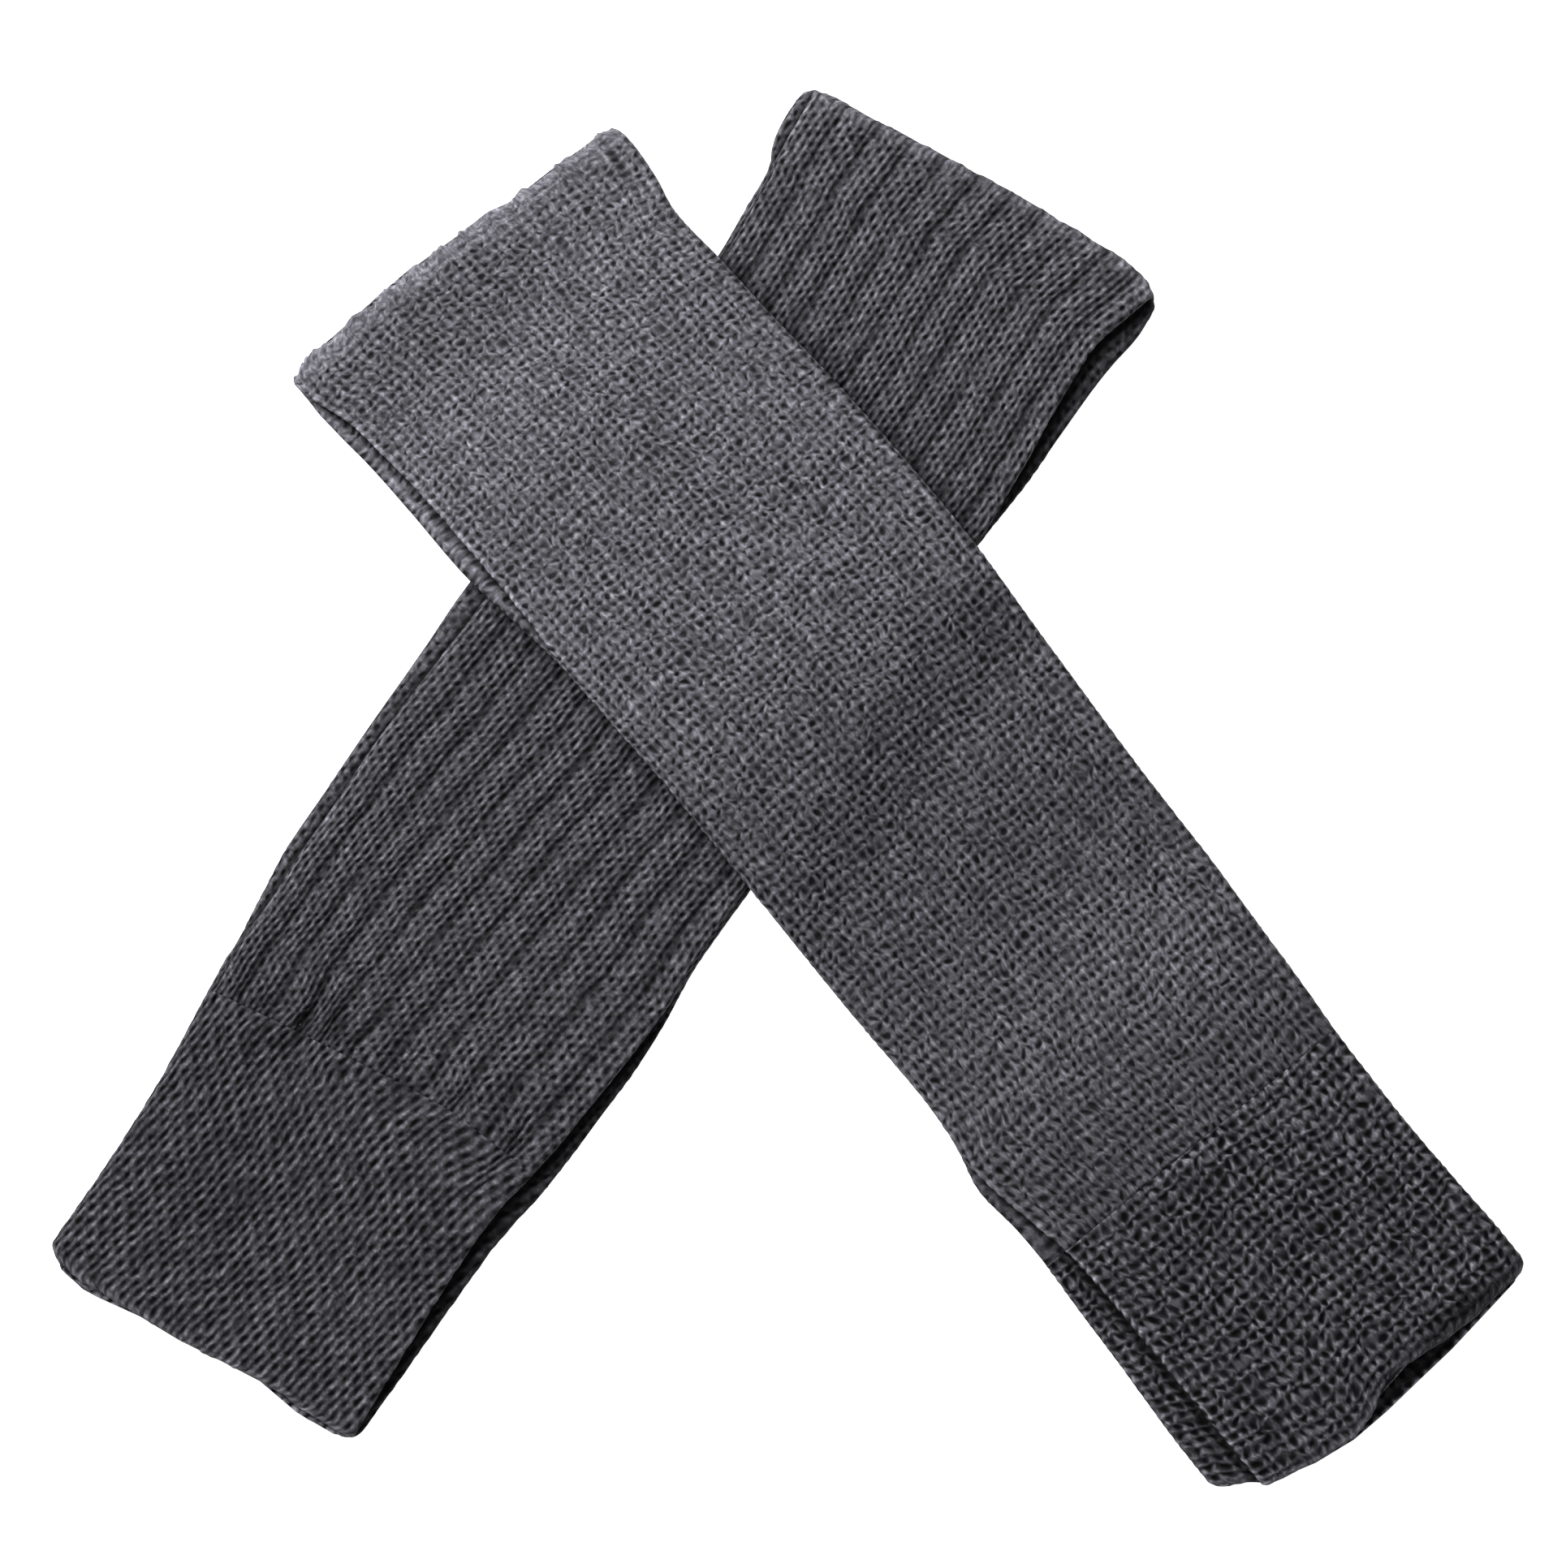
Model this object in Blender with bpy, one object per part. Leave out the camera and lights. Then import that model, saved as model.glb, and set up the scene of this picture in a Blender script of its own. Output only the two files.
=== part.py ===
"""A pair of knitted leg warmers, laid flat on a table and crossed.

Each one is a knitted tube: a leg with wide ribs or plain stitches, and an ankle cuff knitted on to it.
Laid flat, a tube is a front panel lying on a back panel. Where the front panel's fold doesn't reach as
far as the back panel's, the back panel shows beside it as a narrow strip, called the lap here.

Each leg warmer has its own frame, at the middle of its knee end: X runs along it to the ankle, Y runs
across it to its right, and Z is up. The world's origin is at the middle of the pair, on the table.
"""
import math

import bmesh
import bpy
from mathutils import Matrix, Vector

MM = 0.001

# The cloth
WALL = 2.2 * MM
AIR = 0.6 * MM  # between the front panel and the back panel
BACK_LAYER = 2.3 * MM  # height of the back panel's fold where it shows as a lap
GROOVE = 0.4 * MM  # between the back panel's fold and the front panel's
THICKNESS = 2 * WALL + AIR
SIDE_WALL = 3.4 * MM  # from the front panel's fold to the hollow
FULL_LAP = 3 * MM  # a lap this wide has its whole groove; under it, the groove closes up
SEAM_GAP = 0.4 * MM  # between a leg and its cuff
REST_GAP = 0.3 * MM  # between the two leg warmers where they cross
CORNER = 3.4 * MM  # rounding of the cloth's corners, in plan

# Wide ribs of the leg warmer that lies below: flat ridges with a narrow furrow between them
RIB_HEIGHT = 0.8 * MM
FURROW_HALF = 1.1 * MM

# How far the upper leg warmer takes to come down from the lower one to the table
DRAPE_TO_KNEE = 44 * MM
DRAPE_TO_ANKLE = 30 * MM

SIDE_STEPS = 5  # points round each fold
PLAIN_ACROSS = 10  # stretches across a plain front panel
BACK_ACROSS = 5
HOLLOW_ACROSS = 6

# Half widths and laps along each leg warmer, in mm: along, right, left, right_lap, left_lap
UPPER_OUTLINE = [
    (0, 60.2, 59.4, 0.0, 0.5),
    (8, 61.0, 59.4, 0.0, 2.0),
    (20, 60.0, 58.7, 0.0, 4.7),
    (32, 57.8, 57.6, 0.0, 5.0),
    (50, 59.0, 56.9, 0.0, 5.8),
    (75, 60.4, 56.3, 0.0, 5.9),
    (95, 62.0, 53.6, 0.0, 3.2),
    (115, 63.0, 51.6, 0.0, 0.8),
    (130, 63.5, 50.9, 0.0, 0.0),
    (160, 63.6, 50.0, 0.0, 0.0),
    (195, 61.8, 50.2, 0.0, 0.0),
    (240, 59.4, 50.7, 0.0, 0.0),
    (275, 58.4, 50.3, 0.0, 0.0),
    (290, 57.6, 51.4, 0.0, 0.3),
    (300, 57.0, 53.8, 0.0, 1.8),
    (308, 56.6, 55.0, 0.0, 3.5),
    (322, 55.8, 53.7, 0.0, 4.6),
    (336, 54.7, 53.5, 0.0, 7.0),
    (350, 54.2, 54.4, 0.0, 8.8),
    (370, 53.7, 55.3, 0.0, 9.8),
    (395, 54.2, 56.8, 0.0, 11.2),
    (410, 54.7, 57.2, 0.0, 11.6),
    (425, 54.5, 57.0, 0.0, 11.4),
]
LOWER_OUTLINE = [
    (-5, 58.6, 58.5, 1.5, 0.0),
    (8, 59.7, 61.2, 5.5, 3.5),
    (20, 58.2, 60.4, 7.0, 3.5),
    (30, 57.5, 56.8, 6.3, 1.0),
    (45, 57.2, 55.3, 5.2, 0.0),
    (60, 57.0, 54.3, 3.5, 0.0),
    (80, 56.0, 54.6, 1.5, 0.0),
    (95, 55.0, 55.5, 0.0, 0.0),
    (130, 55.0, 58.0, 0.0, 2.0),
    (180, 56.4, 61.1, 0.0, 6.5),
    (200, 57.1, 61.1, 0.0, 5.5),
    (230, 56.6, 61.6, 0.5, 4.4),
    (250, 58.3, 61.5, 2.2, 4.5),
    (270, 58.7, 61.5, 3.6, 4.2),
    (285, 58.1, 60.0, 4.2, 3.3),
    (300, 57.4, 58.4, 4.8, 1.2),
    (310, 56.7, 57.5, 5.6, 0.0),
    (320, 55.3, 56.5, 6.0, 0.0),
    (332, 53.8, 55.2, 5.4, 0.0),
    (350, 53.2, 53.6, 4.6, 0.0),
    (375, 52.8, 52.8, 3.2, 0.0),
    (400, 52.4, 53.0, 1.8, 0.0),
]
# Where the cloth ends or its leg meets its cuff, in mm: across, back, front. Each row gives how far along
# the two panels reach there.
UPPER_KNEE = [
    (-60, -2.8, -2.8),
    (-40, -3.4, -3.4),
    (0, -3.3, -3.3),
    (20, -1.4, -1.4),
    (58, 1.0, 1.0),
]
UPPER_ANKLE = [
    (-58, 415.9, 417.4),
    (-47, 420.8, 425.0),
    (-43, 425.4, 425.8),
    (-30, 429.6, 429.0),
    (-12, 431.6, 430.2),
    (2, 431.1, 424.2),
    (14, 429.8, 424.8),
    (28, 428.5, 426.0),
    (40, 426.8, 425.6),
    (54, 425.0, 424.0),
]
UPPER_SEAM = [(-60, 336.0, 336.0), (60, 336.0, 336.0)]
LOWER_KNEE = [
    (-60, 2.0, 2.0),
    (-40, 0.0, 0.0),
    (-10, -3.4, -3.4),
    (10, -5.3, -5.3),
    (44, -7.0, -7.0),
    (52, -6.0, -6.0),
    (58, -3.0, -3.0),
]
LOWER_ANKLE = [
    (-53, 405.8, 405.0),
    (-42, 409.7, 407.4),
    (-34, 409.4, 407.2),
    (-24, 407.2, 406.6),
    (0, 405.4, 405.0),
    (20, 402.7, 402.2),
    (36, 404.3, 402.2),
    (46, 403.2, 401.8),
    (54, 401.0, 400.6),
]
LOWER_SEAM = [
    (-55, 316.5, 316.5),
    (-28, 312.5, 312.5),
    (5, 308.2, 308.2),
    (22, 306.7, 306.7),
    (55, 309.0, 309.0),
]
# Soft rises and hollows of the front panel, in mm: along, across, half_length, half_width, height
UPPER_SWELLS = [
    (16, 6, 12, 34, -0.6),
    (216, 30, 18, 16, 0.7),
    (240, -4, 20, 14, 0.7),
    (285, 32, 26, 16, 0.7),
    (238, 26, 10, 22, -0.6),
    (206, -6, 22, 16, -0.6),
]
LOWER_SWELLS = [
    (306, 41, 9, 4, -1.1),
    (312, -28, 13, 4, -1.2),
    (303, -19, 8, 4, -0.9),
    (307, 5, 7, 8, -0.7),
    (311, -42, 8, 5, -0.7),
    (318, -36, 12, 3, -0.6),
    (297, -33, 12, 6, 0.7),
    (298, 22, 12, 8, 0.6),
]
# How far the ribs lean to one side along the way, in mm: along, shift
UPPER_LEAN = [(0, 0.0), (430, 0.0)]
LOWER_LEAN = [(0, 0.0), (190, 0.0), (225, -2.0), (255, -4.6), (312, -4.8), (345, -1.5), (370, 0.0)]
# How the front panel lifts off the back panel at a mouth: the same columns
UPPER_MOUTHS = [(-3, -30, 14, 40, 0.5), (424, 10, 22, 34, 1.6)]
LOWER_MOUTHS = [(-6, 30, 18, 40, 0.8), (404, 0, 16, 60, 0.5)]

UPPER = {
    "knee": Vector((-97.45 * MM, 154.35 * MM, 0)),
    "ankle": Vector((169.55 * MM, -169.75 * MM, 0)),
    "outline": UPPER_OUTLINE,
    "knee_line": UPPER_KNEE,
    "ankle_line": UPPER_ANKLE,
    "lean": UPPER_LEAN,
    "swells": UPPER_SWELLS,
    "mouths": UPPER_MOUTHS,
    "seam_line": UPPER_SEAM,
}
LOWER = {
    "knee": Vector((57.35 * MM, 171.55 * MM, 0)),
    "ankle": Vector((-168.65 * MM, -160.75 * MM, 0)),
    "outline": LOWER_OUTLINE,
    "knee_line": LOWER_KNEE,
    "ankle_line": LOWER_ANKLE,
    "lean": LOWER_LEAN,
    "swells": LOWER_SWELLS,
    "mouths": LOWER_MOUTHS,
    "seam_line": LOWER_SEAM,
}

# How densely each piece is divided. Marks are how far along the piece, from its start, in mm.
UPPER_LEG_MARKS, UPPER_LEG_STEPS = (0, 4, 14, 66, 181, 215, 290, 339), (3, 1, 8, 4, 6, 4, 3)
LOWER_LEG_MARKS, LOWER_LEG_STEPS = (0, 4, 290, 315), (3, 13, 4)
CUFF_STEPS, CORNER_STEPS = 8, 3

LEG_COLOUR = (0.060, 0.058, 0.068, 1.0)
CUFF_COLOUR = (0.046, 0.045, 0.054, 1.0)


def smooth(share):
    """0 to 1 with a soft start and a soft end."""
    share = min(max(share, 0.0), 1.0)
    return share * share * (3 - 2 * share)


def between(start, end, steps):
    """steps + 1 even values from start to end."""
    return [start + (end - start) * step / steps for step in range(steps + 1)]


def read_table(rows, at, column):
    """A table's column at a place between its rows, along a smooth curve. Only the rows are in mm."""
    spots = [row[0] * MM for row in rows]
    values = [row[column] * MM for row in rows]
    at = min(max(at, spots[0]), spots[-1])
    first = max(k for k in range(len(rows) - 1) if spots[k] <= at)

    def slope(k):
        low, high = max(k - 1, 0), min(k + 1, len(rows) - 1)
        return (values[high] - values[low]) / (spots[high] - spots[low])

    step = spots[first + 1] - spots[first]
    share = (at - spots[first]) / step
    value = values[first] + (values[first + 1] - values[first]) * smooth(share)
    value += slope(first) * step * share * (1 - share) ** 2
    return value - slope(first + 1) * step * share**2 * (1 - share)


def swell(rows, along, across):
    """The height of a table's soft rises and hollows at one place."""
    height = 0.0
    for row in rows:
        row_along, row_across, half_length, half_width, row_height = (value * MM for value in row)
        away = ((along - row_along) / half_length) ** 2 + ((across - row_across) / half_width) ** 2
        height += row_height * math.exp(-away)
    return height


def frame_of(cloth):
    """The matrix that takes a place on a leg warmer to the world."""
    along = (cloth["ankle"] - cloth["knee"]).normalized()
    turn = math.atan2(along.y, along.x)
    return Matrix.Translation(cloth["knee"]) @ Matrix.Rotation(turn, 4, "Z")


UPPER_TO_LOWER = frame_of(LOWER).inverted() @ frame_of(UPPER)
# The lower leg warmer's own direction, as seen from the upper one
LOWER_LINE = UPPER_TO_LOWER.inverted().to_3x3() @ Vector((1, 0, 0))


def drape_height(along, across):
    """How high the upper leg warmer's underside lies, where it crosses the lower one."""
    place = UPPER_TO_LOWER @ Vector((along, across, 0))
    right = read_table(LOWER_OUTLINE, place.x, 1)
    left = read_table(LOWER_OUTLINE, place.x, 2)
    outside = max((place.y - right) / DRAPE_TO_ANKLE, (-place.y - left) / DRAPE_TO_KNEE)
    return (THICKNESS + REST_GAP) * (1 - smooth(outside))


def lean(along, across):
    """Near the crossing, the upper leg's rings lie along the lower one's edges, to follow the drape."""
    share = smooth((along - 5 * MM) / (45 * MM)) * smooth((300 * MM - along) / (100 * MM))
    return along + across * share * LOWER_LINE.x / LOWER_LINE.y


def side_of_ring(edge, lap):
    """One side of a ring, from the table up to the front panel: distances from the middle, with heights."""
    fold = edge - lap
    back_radius = BACK_LAYER / 2
    front_radius = (THICKNESS - BACK_LAYER - GROOVE) / 2
    turns = between(-math.pi / 2, math.pi / 2, SIDE_STEPS - 1)
    lapped = [
        (edge - back_radius * (1 - math.cos(turn)), back_radius * (1 + math.sin(turn))) for turn in turns
    ]
    lapped.append((fold - 2 * front_radius, BACK_LAYER + GROOVE / 2))
    lapped += [
        (fold - front_radius * (1 - math.cos(turn)), THICKNESS - front_radius * (1 - math.sin(turn)))
        for turn in turns
    ]
    radius = THICKNESS / 2
    turns = between(-math.pi / 2, math.pi / 2, len(lapped) - 1)
    plain = [(edge - radius * (1 - math.cos(turn)), radius * (1 + math.sin(turn))) for turn in turns]
    share = smooth(lap / FULL_LAP)
    return [
        (far + (lap_far - far) * share, high + (lap_high - high) * share)
        for (far, high), (lap_far, lap_high) in zip(plain, lapped)
    ]


def front_profile(right, left, ribs, shift):
    """The front panel's points from its right fold to its left one: distances to the right, with heights."""
    kind, count, depth = ribs
    width = right + left
    points = []
    for k in range(1, count):
        share = k / count
        middle = right - width * share + 4 * shift * share * (1 - share)
        if kind == "plain":
            points.append((middle, 0.0))
        elif kind == "wide":
            points += [(middle + FURROW_HALF, 0.0), (middle, -depth), (middle - FURROW_HALF, 0.0)]
        else:
            points += [(middle + width / count / 2, 0.0), (middle, -depth)]
    if kind == "narrow":
        points.append((-left + width / count / 2, 0.0))
    return points


def ring(piece, share):
    """One ring of a piece: its outer and inner loops of points, and each inner point's outer partner."""
    cloth = piece["cloth"]

    def place(across, layer):
        start = piece["start"](across, layer)
        along = start + share * (piece["end"](across, layer) - start)
        return lean(along, across) if piece["leans"] else along

    length = piece["end"](0, 0) - piece["start"](0, 0)
    to_corner = length * (share if piece["corners"] == "start" else 1 - share)
    short = CORNER - min(to_corner, CORNER)
    pulled = CORNER - math.sqrt(CORNER**2 - short**2)
    edges = {}
    for side, column, sign in (("right", 1, 1), ("left", 2, -1)):
        along = place(sign * read_table(cloth["outline"], place(0, 0), column), 0)
        # Only the outer fold is rounded at the corner: a front fold beside a lap keeps its place
        lap = max(read_table(cloth["outline"], along, column + 2) - pulled, 0.0)
        edges[side] = (read_table(cloth["outline"], along, column) - pulled, lap)
    right_side = side_of_ring(*edges["right"])
    left_side = side_of_ring(*edges["left"])

    # Each point is (distance to the right, height, layer), where the layer goes from 0, back, to 1, front
    outer = [(across, 0.0, 0.0) for across in between(-left_side[0][0], right_side[0][0], BACK_ACROSS)[1:-1]]
    outer += [(far, high, high / THICKNESS) for far, high in right_side]
    first_front = len(outer)
    shift = read_table(cloth["lean"], place(0, 1), 1)
    for across, height in front_profile(right_side[-1][0], left_side[-1][0], piece["ribs"], shift):
        dip = swell(cloth["swells"], place(across, 1), across) + height
        outer.append((across, THICKNESS + max(dip, -WALL / 2), 1.0))
    last_front = len(outer)
    outer += [(-far, high, high / THICKNESS) for far, high in reversed(left_side)]

    hollow = between(
        edges["left"][1] - edges["left"][0] + SIDE_WALL,
        edges["right"][0] - edges["right"][1] - SIDE_WALL,
        HOLLOW_ACROSS,
    )
    middle = WALL + AIR / 2
    inner = [(across, WALL, 0.0) for across in hollow]
    inner.append((hollow[-1] + AIR, middle, 0.5))
    inner += [(across, WALL + AIR, 1.0) for across in reversed(hollow)]
    inner.append((hollow[0] - AIR, middle, 0.5))

    def partner(point):
        if point[2] == 0.5:
            half_side = len(right_side) // 2
            return BACK_ACROSS - 1 + half_side if point[0] > 0 else last_front + half_side
        if point[2] == 0.0:
            choices = [len(outer) - 1, *range(BACK_ACROSS)]
        else:
            choices = range(first_front - 1, last_front + 1)
        return min(choices, key=lambda k: abs(outer[k][0] - point[0]))

    partners = [partner(point) for point in inner]

    def settle(point):
        across, height, layer = point
        along = place(across, layer)
        height += layer * swell(cloth["mouths"], along, across)
        if piece["drapes"]:
            height += drape_height(along, across)
        return Vector((along, across, height))

    return [settle(point) for point in outer], [settle(point) for point in inner], partners


def stations(marks, steps):
    """How far along a piece each ring stands, as shares of its length."""
    places = [0.0]
    for low, high, count in zip(marks, marks[1:], steps):
        places += between(low, high, count)[1:]
    return [place / marks[-1] for place in places]


def add_rim(bm, outer, inner, partners):
    """Closes one end of the cloth, from its outer loop of vertices to its inner one."""
    for k, vertex in enumerate(inner):
        following = (k + 1) % len(inner)
        stretch = (partners[following] - partners[k]) % len(outer)
        run = [outer[(partners[k] + step) % len(outer)] for step in range(stretch + 1)]
        bm.faces.new([vertex, *run, inner[following]])


def add_skin(bm, loops):
    """The surface through a row of loops of vertices."""
    for near, far in zip(loops, loops[1:]):
        for k in range(len(near)):
            following = (k + 1) % len(near)
            bm.faces.new([near[k], near[following], far[following], far[k]])


def build_piece(piece, places):
    """The closed wall of one knitted piece, as an object in its leg warmer's frame."""
    bm = bmesh.new()
    outers, inners = [], []
    for share in places:
        outer, inner, partners = ring(piece, share)
        outers.append([bm.verts.new(point) for point in outer])
        inners.append([bm.verts.new(point) for point in inner])
        if share in (places[0], places[-1]):
            add_rim(bm, outers[-1], inners[-1], partners)
    add_skin(bm, outers)
    add_skin(bm, inners)
    bmesh.ops.recalc_face_normals(bm, faces=bm.faces)
    mesh = bpy.data.meshes.new(piece["name"])
    bm.to_mesh(mesh)
    bm.free()
    mesh.shade_smooth()
    mesh.set_sharp_from_angle(angle=math.radians(50))
    return bpy.data.objects.new(piece["name"], mesh)


def knit_material(name, colour):
    """Charcoal knitted yarn: dull, with a little sheen from its fibres."""
    material = bpy.data.materials.new(name)
    material.use_nodes = True
    shader = material.node_tree.nodes["Principled BSDF"]
    shader.inputs["Base Color"].default_value = colour
    shader.inputs["Roughness"].default_value = 0.9
    shader.inputs["Metallic"].default_value = 0.0
    shader.inputs["Sheen Weight"].default_value = 0.3
    return material


def leg_of(cloth, name, ribs, leans):
    """The leg of one leg warmer, from its knee end to the seam with the cuff."""
    return {
        "name": name,
        "cloth": cloth,
        "start": lambda across, layer: read_table(cloth["knee_line"], across, 1),
        "end": lambda across, layer: read_table(cloth["seam_line"], across, 1) - SEAM_GAP / 2,
        "corners": "start",
        "ribs": ribs,
        "leans": leans,
        "drapes": leans,
    }


def cuff_of(cloth, name, ribs):
    """The cuff of one leg warmer, from the seam to its ankle end."""

    def end(across, layer):
        back = read_table(cloth["ankle_line"], across, 1)
        front = read_table(cloth["ankle_line"], across, 2)
        return back + layer * (front - back)

    return {
        "name": name,
        "cloth": cloth,
        "start": lambda across, layer: read_table(cloth["seam_line"], across, 1) + SEAM_GAP / 2,
        "end": end,
        "corners": "end",
        "ribs": ribs,
        "leans": False,
        "drapes": False,
    }


def cuff_places(piece):
    """Even rings along a cuff, and closer ones round its corners."""
    length = (piece["end"](0, 0) - piece["start"](0, 0)) / MM
    return stations((0, length - CORNER / MM, length), (CUFF_STEPS, CORNER_STEPS))


def main():
    for old in list(bpy.data.objects):
        bpy.data.objects.remove(old, do_unlink=True)
    collection = bpy.data.collections.new("leg_warmers")
    bpy.context.scene.collection.children.link(collection)
    leg_yarn = knit_material("leg_yarn", LEG_COLOUR)
    cuff_yarn = knit_material("cuff_yarn", CUFF_COLOUR)

    upper_leg = leg_of(UPPER, "upper_leg", ("plain", PLAIN_ACROSS, 0.0), leans=True)
    upper_cuff = cuff_of(UPPER, "upper_cuff", ("narrow", 23, 0.6 * MM))
    lower_leg = leg_of(LOWER, "lower_leg", ("wide", 11, RIB_HEIGHT), leans=False)
    lower_cuff = cuff_of(LOWER, "lower_cuff", ("narrow", 44, 0.5 * MM))
    legs = [
        (upper_leg, stations(UPPER_LEG_MARKS, UPPER_LEG_STEPS), leg_yarn),
        (upper_cuff, cuff_places(upper_cuff), cuff_yarn),
        (lower_leg, stations(LOWER_LEG_MARKS, LOWER_LEG_STEPS), leg_yarn),
        (lower_cuff, cuff_places(lower_cuff), cuff_yarn),
    ]
    for cloth, name in ((UPPER, "upper_place"), (LOWER, "lower_place")):
        cloth["empty"] = bpy.data.objects.new(name, None)
        cloth["empty"].matrix_world = frame_of(cloth)
        collection.objects.link(cloth["empty"])
    for piece, places, yarn in legs:
        made = build_piece(piece, places)
        made.data.materials.append(yarn)
        made.parent = piece["cloth"]["empty"]
        collection.objects.link(made)


main()
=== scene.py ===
# %% [markdown]
# # A pair of knitted leg warmers, laid flat and crossed
#
# Each leg warmer is a knitted tube: a leg, and an ankle cuff in a bigger, looser stitch. They lie on a
# table, one across the other. The solids of the imported model give their size and place. This script gives
# them their knitting: every piece gets a new shell with real stitches, and a yarn to see on it.
#
# We first load the imported model.

# %% Load the imported model
import math

import bmesh
import bpy
import numpy as np
from mathutils import Matrix, Vector


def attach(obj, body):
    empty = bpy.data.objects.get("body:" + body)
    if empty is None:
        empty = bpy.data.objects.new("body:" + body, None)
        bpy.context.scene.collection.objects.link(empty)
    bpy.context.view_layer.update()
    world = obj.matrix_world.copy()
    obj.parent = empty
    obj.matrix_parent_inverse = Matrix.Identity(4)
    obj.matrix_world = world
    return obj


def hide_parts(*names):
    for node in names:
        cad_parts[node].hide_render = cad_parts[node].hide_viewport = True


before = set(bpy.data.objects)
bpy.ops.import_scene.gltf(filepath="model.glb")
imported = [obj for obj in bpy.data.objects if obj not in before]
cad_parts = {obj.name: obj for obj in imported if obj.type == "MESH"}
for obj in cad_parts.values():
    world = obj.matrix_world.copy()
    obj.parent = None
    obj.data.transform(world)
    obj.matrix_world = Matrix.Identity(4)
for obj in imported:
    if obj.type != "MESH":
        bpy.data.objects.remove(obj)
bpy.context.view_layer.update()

MM = 0.001

# %% [markdown]
# ## The sizes of the cloth
#
# A tube that lies flat is two layers, a front panel on a back panel, with a fold at each side. Where the
# front panel's fold doesn't reach as far as the back panel's, the back panel shows beside it. We call
# that strip the lap. Each leg warmer has its own frame: X runs along it from the knee end to the ankle
# end, Y runs across it to its right, and Z is up. The tables are in millimetres in that frame.

# %% The cloth
WALL = 2.2 * MM
AIR = 0.6 * MM  # between the front panel and the back panel
BACK_LAYER = 2.3 * MM  # height of the back panel's fold where it shows as a lap
GROOVE = 0.4 * MM  # between the back panel's fold and the front panel's
THICKNESS = 2 * WALL + AIR
SIDE_WALL = 3.4 * MM  # from the front panel's fold to the hollow
FULL_LAP = 3 * MM  # a lap this wide has its whole groove
CORNER = 3.4 * MM  # rounding of the cloth's corners, in plan
REST_GAP = 0.3 * MM  # between the two leg warmers where they cross
# How far the upper one takes to come down to the table
DRAPE_TO_KNEE = 44 * MM
DRAPE_TO_ANKLE = 30 * MM

# %% The upper leg warmer
# along, right, left, right_lap, left_lap
UPPER_OUTLINE = [
    (0, 60.2, 59.4, 0.0, 0.5),
    (8, 61.0, 59.4, 0.0, 2.0),
    (20, 60.0, 58.7, 0.0, 4.7),
    (32, 57.8, 57.6, 0.0, 5.0),
    (50, 59.0, 56.9, 0.0, 5.8),
    (75, 60.4, 56.3, 0.0, 5.9),
    (95, 62.0, 53.6, 0.0, 3.2),
    (115, 63.0, 51.6, 0.0, 0.8),
    (130, 63.5, 50.9, 0.0, 0.0),
    (160, 63.6, 50.0, 0.0, 0.0),
    (195, 61.8, 50.2, 0.0, 0.0),
    (240, 59.4, 50.7, 0.0, 0.0),
    (275, 58.4, 50.3, 0.0, 0.0),
    (290, 57.6, 51.4, 0.0, 0.3),
    (300, 57.0, 53.8, 0.0, 1.8),
    (308, 56.6, 55.0, 0.0, 3.5),
    (322, 55.8, 53.7, 0.0, 4.6),
    (336, 54.7, 53.5, 0.0, 7.0),
    (350, 54.2, 54.4, 0.0, 8.8),
    (370, 53.7, 55.3, 0.0, 9.8),
    (395, 54.2, 56.8, 0.0, 11.2),
    (410, 54.7, 57.2, 0.0, 11.6),
    (425, 54.5, 57.0, 0.0, 11.4),
]
# across, back, front: how far along the two panels reach there
UPPER_KNEE = [
    (-60, -2.8, -2.8),
    (-40, -3.4, -3.4),
    (0, -3.3, -3.3),
    (20, -1.4, -1.4),
    (58, 1.0, 1.0),
]
UPPER_ANKLE = [
    (-58, 415.9, 417.4),
    (-47, 420.8, 425.0),
    (-43, 425.4, 425.8),
    (-30, 429.6, 429.0),
    (-12, 431.6, 430.2),
    (2, 431.1, 424.2),
    (14, 429.8, 424.8),
    (28, 428.5, 426.0),
    (40, 426.8, 425.6),
    (54, 425.0, 424.0),
]
# along, across, half_length, half_width, height: soft creases of the front panel
UPPER_CREASES = [
    (16, 6, 12, 34, -0.6),
    (216, 30, 18, 16, 0.7),
    (240, -4, 20, 14, 0.7),
    (285, 32, 26, 16, 0.7),
    (238, 26, 10, 22, -0.6),
    (206, -6, 22, 16, -0.6),
]
UPPER_MOUTHS = [(-3, -30, 14, 40, 0.5), (424, 10, 22, 34, 1.6)]
UPPER_SEAM = [(-60, 336.0, 336.0), (60, 336.0, 336.0)]
# along, shift: how far the wales lean to one side
UPPER_LEAN = [(0, 0.0), (430, 0.0)]
# along, across, half_length, half_width, sideways: where the wales bend aside
UPPER_BENDS = [(0, 48, 16, 9, -1.0)]
# along, tone: how pale the yarn looks, where 1 is its own colour. The level is the yarn's own darkness; the
# changes along the leg are painted light and shade, where the lamp's light falls off and the cloth slopes
# away
UPPER_TONE_AND_LIGHT = [
    (0, 0.71),
    (100, 0.71),
    (150, 0.69),
    (180, 0.51),
    (205, 0.55),
    (240, 0.49),
    (285, 0.61),
    (312, 0.49),
    (336, 0.46),
    (430, 0.42),
]
# along, across, half_length, half_width, change: soft patches of painted light and shade, paler where the
# cloth rises, darker in its hollows and the mouth
UPPER_LIGHT_AND_SHADE_PATCHES = [
    (17, -8, 9, 34, -0.20),
    (40, -40, 16, 16, 0.06),
    (280, 28, 24, 20, 0.16),
    (206, -10, 16, 22, -0.10),
    (238, 24, 9, 24, -0.10),
    (352, -14, 16, 22, -0.14),
    (424, 34, 5, 26, -0.72),
    (338, -5, 1.8, 11, 0.50),
    (337, 19, 1.4, 3, 0.80),
    (337, 35, 1.5, 6, 0.55),
]
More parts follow.
